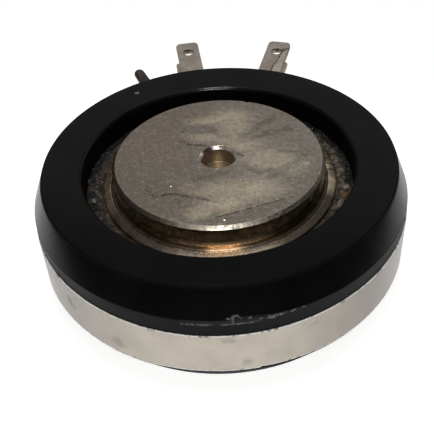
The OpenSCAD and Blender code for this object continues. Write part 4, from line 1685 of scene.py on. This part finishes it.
@dataclass
class GateContact:
    """The gate's cavity, slot and spring, and the finishes of what is sealed inside."""

    stack_top_z: float
    lead_z: float = LEAD_Z
    cavity_r: float = 2.6
    cavity_top_z: float = 11.3
    slot_half_w: float = 0.58
    shoulder_r: float = 12.2
    lead_r: float = LEAD_R
    lead_socket: float = 0.8
    tab_turn: float = TAB_TURN
    fit_gap: float = FIT_GAP
    wire_r: float = 0.13
    coil_r: float = 1.46
    coil_turns: float = 3.0
    coil_low_z: float = 9.85
    coil_top_z: float = 11.0

    def cutters(self) -> list[bpy.types.Object]:
        """Tools that cut the cavity, the gate lead's slot and the cathode lead's socket."""
        below = self.stack_top_z - OVERCUT
        beyond = self.shoulder_r + OVERCUT
        cavity = Lathe([(0.0, below), (self.cavity_r, below), (self.cavity_r, self.cavity_top_z),
                        (0.0, self.cavity_top_z)], full_turn(5.0), closed=False).build("cavity")
        low = Vector((-self.slot_half_w, 0.0, below))
        high = Vector((self.slot_half_w, beyond, self.lead_z))
        return [
            cavity,
            block("slot", low, high, self.tab_turn),
            bar("slot_roof", self.slot_half_w, 0.0, beyond, self.lead_z, self.tab_turn),
            bar("socket", self.lead_r + self.fit_gap, self.shoulder_r - self.lead_socket, beyond,
                self.lead_z, -self.tab_turn),
        ]

    def build_spring(self, shape: NodeShape) -> None:
        """Sweeps the spring's wire along its coil."""
        spring = new_piece("gate_coil", [], [])
        finish = TurnedMetal("spring_steel", (0.62, 0.61, 0.58), (0.42, 0.39, 0.34), 0.22, 14.0)
        shape.apply(spring, {
            "Turns": self.coil_turns, "Coil Radius": self.coil_r * MM, "Wire Radius": self.wire_r * MM,
            "Rise": (self.coil_top_z - self.coil_low_z - 2.0 * self.wire_r) * MM,
            "Start Height": (self.coil_low_z + self.wire_r) * MM, "Material": finish.material()})
        tidy(spring)
        hand_over(spring, finish, "gate_spring")

    def dress_inside(self, nodes: dict[str, bpy.types.Object]) -> None:
        """Gives the sealed nodes, which keep their own solids, their finishes."""
        copper = TurnedMetal("lead_copper", (0.72, 0.33, 0.17), (0.36, 0.17, 0.1), 0.28, 3.0)
        moly = TurnedMetal("molybdenum", (0.5, 0.5, 0.52), (0.33, 0.32, 0.33), 0.34, 7.0)
        waxy = MouldedPolymer("gate_insulator", (0.82, 0.8, 0.75), (0.7, 0.67, 0.6), 0.38)
        finishes = {
            "silicon_wafer": MetallisedSilicon(),
            "anode_disc": moly,
            "cathode_disc": moly,
            "edge_ring": MouldedPolymer("edge_rubber", (0.24, 0.045, 0.03), (0.15, 0.03, 0.022), 0.6),
            "gate_cup": waxy,
            "gate_sleeve": waxy,
            "gate_pin": TurnedMetal("gate_brass", (0.72, 0.56, 0.26), (0.42, 0.29, 0.12), 0.2, 11.0),
            "gate_lead": copper,
            "cathode_lead": copper,
        }
        for name, finish in finishes.items():
            mesh = nodes[name].data
            mesh.materials.clear()
            mesh.materials.append(finish.material())
            LOG.info("%s keeps its solid with %s", name, finish.slot)


@dataclass(frozen=True)
class Strip:
    """The outline of a punched strip along +Y, with rounded corners at its far end."""

    left: float
    right: float
    start: float
    end: float
    left_round: float
    right_round: float
    pitch: float = 0.3
    least_round: float = 0.04
    bend_steps: int = 8

    def loop(self, inset: float) -> list[Point]:
        """The outline moved inwards, anticlockwise from the right side's start."""
        right_round = max(self.least_round, self.right_round - inset)
        left_round = max(self.least_round, self.left_round - inset)
        left, right = self.left + inset, self.right - inset
        start, end = self.start + inset, self.end - inset
        runs = max(2, math.ceil((self.end - self.start) / self.pitch))
        points = [(right, start + (end - right_round - start) * i / runs) for i in range(runs)]
        bends = ((right - right_round, right_round, 0.0), (left + left_round, left_round, 90.0))
        for side, radius, first in bends:
            for i in range(self.bend_steps + 1):
                turn = math.radians(first + 90.0 * i / self.bend_steps)
                points.append((side + radius * math.cos(turn), end - radius + radius * math.sin(turn)))
        top, back = end - left_round, start - end + left_round
        points += [(left, top + back * i / runs) for i in range(1, runs + 1)]
        across = max(2, math.ceil((self.right - self.left) / self.pitch))
        points += [(left + (right - left) * i / across, start) for i in range(1, across)]
        return points


@dataclass(frozen=True)
class Plate:
    """A punched strip with rounded edges and, if told, a round eye."""

    strip: Strip
    low_z: float
    high_z: float
    edge: float = 0.09
    eye: Place | None = None

    def eye_loop(self, inset: float, steps: int = 40) -> list[Point]:
        """The eye's circle, widened by the inset."""
        x, y, radius = self.eye
        around = [math.tau * i / steps for i in range(steps)]
        return [(x + (radius + inset) * math.cos(a), y + (radius + inset) * math.sin(a)) for a in around]

    def build(self, name: str, relief: Callable[[float, float], float] | None = None) -> bpy.types.Object:
        """Makes the plate.

        Args:
            name: The piece's name.
            relief: Height to add to the upper face at a place.

        Returns:
            The object.
        """
        nip = self.edge * 0.3
        levels = [(self.edge, self.low_z), (nip, self.low_z + nip), (0.0, self.low_z + self.edge),
                  (0.0, self.high_z - self.edge), (nip, self.high_z - nip), (self.edge, self.high_z)]
        makers = [self.strip.loop] + ([self.eye_loop] if self.eye else [])
        vertices: list[Place] = []
        faces: list[Face] = []
        ends: dict[int, list[list[int]]] = {0: [], len(levels) - 1: []}
        for maker in makers:
            rings = []
            for level, (inset, z) in enumerate(levels):
                ring = []
                for x, y in maker(inset):
                    ring.append(len(vertices))
                    vertices.append((x, y, z))
                rings.append(ring)
                if level in ends:
                    ends[level].append(ring)
            for low, high in zip(rings, rings[1:]):
                for i in range(len(low)):
                    j = (i + 1) % len(low)
                    faces.append((low[i], low[j], high[j], high[i]))
        for level, rings in ends.items():
            self.cap(vertices, faces, rings, levels[level][1], relief if level else None)
        return new_piece(name, vertices, faces)

    def cap(self, vertices: list[Place], faces: list[Face], rings: list[list[int]], z: float,
            relief: Callable[[float, float], float] | None) -> None:
        """Fills a flat side between its rings, with inner points on a grid."""
        ids = [number for ring in rings for number in ring]
        points = [Vector(vertices[number][:2]) for number in ids]
        edges = []
        first = 0
        for ring in rings:
            count = len(ring)
            edges += [(first + i, first + (i + 1) % count) for i in range(count)]
            first += count
        pitch = self.strip.pitch * 0.75
        border = self.strip.loop(self.edge + 0.6 * pitch)
        for i in range(1, math.ceil((self.strip.right - self.strip.left) / pitch)):
            for j in range(1, math.ceil((self.strip.end - self.strip.start) / pitch)):
                x, y = self.strip.left + i * pitch, self.strip.start + j * pitch
                if contains(border, x, y) and not self.in_eye(x, y, self.edge + 0.6 * pitch):
                    ids.append(len(vertices))
                    points.append(Vector((x, y)))
                    vertices.append((x, y, z))
        _, _, triangles, origins, _, _ = delaunay_2d_cdt(points, edges, [], 2, 1e-5)
        for triangle in triangles:
            middle = sum((points[origins[corner][0]] for corner in triangle), Vector((0.0, 0.0))) / 3.0
            if not self.in_eye(middle.x, middle.y, self.edge):
                faces.append(tuple(ids[origins[corner][0]] for corner in triangle))
        if relief:
            for number in ids:
                x, y, height = vertices[number]
                vertices[number] = (x, y, height + relief(x, y))

    def in_eye(self, x: float, y: float, margin: float) -> bool:
        """Whether a point lies in the eye, or within a margin of it."""
        if self.eye is None:
            return False
        return math.hypot(x - self.eye[0], y - self.eye[1]) < self.eye[2] + margin


def contains(loop: Sequence[Point], x: float, y: float) -> bool:
    """Whether a point lies inside a closed loop."""
    inside = False
    for (x0, y0), (x1, y1) in zip(loop, [*loop[1:], loop[0]]):
        if (y0 > y) != (y1 > y) and x < x0 + (y - y0) * (x1 - x0) / (y1 - y0):
            inside = not inside
    return inside


@dataclass
class Terminal:
    """A terminal tab with its eye and its low shoulder."""

    node: str
    turn: float
    mirrored: bool
    soldered: bool
    root_r: float = ROOT_R
    bend_r: float = 20.5
    tip_r: float = 31.7
    half_w: float = TAB_HALF_W
    half_t: float = TAB_HALF_T
    tilt: float = 6.0
    corner_r: float = 0.65
    eye_r: float = 0.7
    eye_inset: float = 2.25
    step_w: float = 0.45
    step_l: float = 7.2
    step_gap: float = 0.08
    step_lap: float = 0.3
    lead_z: float = LEAD_Z

    def solder_share(self, x: float, y: float) -> float:
        """1 where old solder covers the tab, 0 where it is bare."""
        if not self.soldered:
            return 0.0
        out = (y - self.bend_r) / (self.tip_r - self.bend_r)
        border = 0.75 - 1.0 * smooth(0.85, 0.1, out) + 0.2 * ripple(y * 0.9, 4.0)
        covered = smooth(border - 0.22, border + 0.3, -x)
        return covered * smooth(0.92, 0.8, out + 0.05 * ripple(x * 1.4, 2.0))

    def relief(self, x: float, y: float) -> float:
        """Unevenness of the tab's upper face."""
        return 0.012 * ripple(x * 0.9, y * 0.5, 2.0) - 0.012 + 0.07 * self.solder_share(x, y) * (
            0.8 + 0.3 * ripple(x * 1.5, y * 1.2, 5.0))

    def build(self) -> None:
        """Punches the tab and its shoulder, joins them, bends them up and turns them into place."""
        eye = (0.0, self.tip_r - self.eye_inset, self.eye_r)
        blade = Strip(-self.half_w, self.half_w, self.root_r, self.tip_r, self.corner_r, self.corner_r)
        shoulder = Strip(-self.half_w - self.step_w, -self.half_w + self.step_lap,
                         self.bend_r + self.step_gap, self.bend_r + self.step_l, self.step_w, 0.1)
        punched = Plate(blade, -self.half_t, self.half_t, eye=eye)
        tab = punched.build(f"{self.node}_blade", self.relief)
        low = Plate(shoulder, -self.half_t, 0.0, 0.07).build("shoulder")
        carve(tab, [low], "UNION")
        store(tab, "low", lambda place: float(place.x < -self.half_w - 0.02))
        store(tab, "eye", lambda place: float(punched.in_eye(place.x, place.y, 0.02)))
        store(tab, "solder", lambda place: self.solder_share(place.x, place.y) * float(place.z > 0.0))
        slope = math.tan(math.radians(self.tilt))
        for vertex in tab.data.vertices:
            out = max(0.0, vertex.co.y / MM - self.bend_r)
            vertex.co.z += (out * slope + self.lead_z) * MM
        if self.mirrored:
            tab.data.transform(Matrix.Diagonal((-1.0, 1.0, 1.0, 1.0)))
        tab.data.transform(Matrix.Rotation(math.radians(self.turn), 4, "Z"))
        tidy(tab)
        hand_over(tab, TinnedTab(self.turn), self.node)


# Stage


@dataclass(frozen=True)
class PhotoView:
    """The camera of the photograph, in degrees, millimetres and pixels."""

    frame_w_px: float = 434.0
    focal_px: float = 750.9
    distance: float = 81.92
    elevation: float = 36.67
    pan: float = -0.344
    tilt: float = -4.24
    roll: float = -3.61
    turn: float = 5.85
    sensor_w: float = 36.0
    near_clip: float = 5.0

    def build(self, aim_z: float) -> None:
        """Makes the camera, aimed from the middle of the ring's upper face.

        Args:
            aim_z: Height of that face.
        """
        pan, tilt, roll = (math.radians(angle) for angle in (self.pan, self.tilt, self.roll))
        rise = math.radians(self.elevation)
        away = Vector((0.0, -math.cos(rise), math.sin(rise)))
        right = (-away).cross(Vector((0.0, 0.0, 1.0))).normalized()
        up = right.cross(-away)
        ahead = -away * math.cos(pan) * math.cos(tilt) + right * math.sin(pan) + up * math.sin(tilt)
        ahead.normalize()
        across = ahead.cross(up).normalized()
        above = across.cross(ahead)
        rolled = across * math.cos(roll) + above * math.sin(roll)
        top = above * math.cos(roll) - across * math.sin(roll)
        facing = Matrix((rolled, top, -ahead)).transposed()
        spin = Matrix.Rotation(math.radians(self.turn), 3, "Z")
        lens = bpy.data.cameras.new("photo_view")
        lens.sensor_width = self.sensor_w
        lens.lens = self.focal_px * self.sensor_w / self.frame_w_px
        lens.clip_start = self.near_clip * MM
        camera = bpy.data.objects.new("photo_view", lens)
        place = spin @ (away * self.distance) + Vector((0.0, 0.0, aim_z))
        camera.matrix_world = Matrix.Translation(place * MM) @ (spin @ facing).to_4x4()
        bpy.context.scene.collection.objects.link(camera)
        bpy.context.scene.camera = camera


@dataclass(frozen=True)
class Lamp:
    """A soft area light, placed by its azimuth, elevation and distance from the disc."""

    name: str
    azimuth: float
    elevation: float
    distance: float
    width: float
    depth: float
    radiance: float

    def build(self) -> None:
        """Makes the light, aimed at the disc."""
        turn, rise = math.radians(self.azimuth), math.radians(self.elevation)
        out = Vector((math.cos(turn) * math.cos(rise), math.sin(turn) * math.cos(rise), math.sin(rise)))
        data = bpy.data.lights.new(self.name, "AREA")
        data.shape = "RECTANGLE"
        data.size, data.size_y = self.width * MM, self.depth * MM
        data.energy = self.radiance * math.pi * data.size * data.size_y
        lamp = bpy.data.objects.new(self.name, data)
        lamp.location = out * self.distance * MM
        lamp.rotation_euler = out.to_track_quat("Z", "Y").to_euler()
        lamp.visible_camera = False
        bpy.context.scene.collection.objects.link(lamp)


@dataclass(frozen=True)
class Studio:
    """Round pale floor, dim surround and soft lamps."""

    floor_r: float = 50.0
    floor_sides: int = 96
    lamps: tuple[Lamp, ...] = (
        Lamp("key", CAMERA_SIDE_DEG, 44.0, 260.0, 60.0, 45.0, 30.0),
        Lamp("strip", CAMERA_SIDE_DEG, 45.0, 264.0, 320.0, 26.0, 2.6),
        Lamp("overhead", CAMERA_SIDE_DEG + 180.0, 74.0, 300.0, 110.0, 26.0, 10.0),
        Lamp("zenith", CAMERA_SIDE_DEG, 88.0, 300.0, 30.0, 30.0, 30.0),
    )

    def build(self) -> None:
        """Makes the floor, the surround and the lamps."""
        turns = [math.tau * i / self.floor_sides for i in range(self.floor_sides)]
        rim = [(self.floor_r * math.cos(turn), self.floor_r * math.sin(turn), 0.0) for turn in turns]
        floor = new_piece("floor", rim, [range(self.floor_sides)])
        floor.data.materials.append(PaleFloor().material())
        for lamp in self.lamps:
            lamp.build()
        self.build_surround()

    def build_surround(self) -> None:
        """Paints the surround by direction: dim all round and lighter ahead, where the face mirrors it."""
        world = bpy.data.worlds.new("surround")
        bpy.context.scene.world = world
        world.use_nodes = True
        graph = Graph(world.node_tree)
        x, y, z = graph.split(graph.node("ShaderNodeTexCoord", output="Generated"))
        ahead = y.ramp(0.15, 0.75) * z.ramp(-0.05, 0.15)
        above = z.ramp(0.86, 0.98)
        right = x.ramp(0.2, 0.6) * y.ramp(0.3, 0.6) * z.ramp(0.2, 0.4)
        left = (0.0 - x).ramp(0.5, 0.85) * z.ramp(0.3, 0.45) * z.ramp(0.85, 0.7)
        level = 0.025 + 0.225 * ahead + 0.3 * above + 0.7 * right + 0.2 * left
        dim = graph.node("ShaderNodeBackground", inputs={"Color": (1.0, 1.0, 1.0), "Strength": level})
        plain = graph.node("ShaderNodeBackground", inputs={"Color": (1.0, 1.0, 1.0), "Strength": 1.0})
        seen = graph.node("ShaderNodeLightPath", output="Is Camera Ray")
        mixed = graph.node("ShaderNodeMixShader", inputs={0: seen, 1: dim, 2: plain})
        graph.node("ShaderNodeOutputWorld", inputs={"Surface": mixed})


def box_mm(node: str) -> tuple[Vector, Vector]:
    """The lowest and highest corner of a CAD node, in millimetres."""
    low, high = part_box(node)
    return low / MM, high / MM


def main() -> None:
    """Builds the scene in order: camera and stage, housing, both contact sides, gate and terminals."""
    logging.basicConfig(level=logging.INFO, format="%(name)s: %(message)s")
    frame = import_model()
    bpy.context.scene.view_settings.view_transform = "Standard"

    ring_low, ring_high = box_mm("housing_ring")
    label_low, label_high = box_mm("label_band")
    pole_low, pole_high = box_mm("cathode_pole")
    stack_h = pole_high.z
    seat_r = pole_high.x
    PhotoView().build(ring_high.z)
    Studio().build()

    housing = Housing(ring_high.x, ring_low.z, ring_high.z, label_high.x, label_low.z, label_high.z)
    housing.build_ring(stack_h)
    housing.build_label()
    housing.build_stub()

    gate = GateContact(pole_low.z, shoulder_r=seat_r)
    bead = lumpy_bead()
    for side in Side:
        low, high = box_mm(f"{side.value}_pole")
        contact = ContactSide(side, stack_h, high.z - low.z, seat_r)
        contact.build_pole(gate.cutters() if side is Side.CATHODE else ())
        contact.build_flange()
        contact.build_seal(bead)
    gate.build_spring(wire_coil())
    gate.dress_inside(frame["nodes"])

    Terminal("gate_tab", housing.tab_turn, mirrored=False, soldered=False).build()
    Terminal("cathode_tab", -housing.tab_turn, mirrored=True, soldered=True).build()


if __name__ == "__main__":
    main()
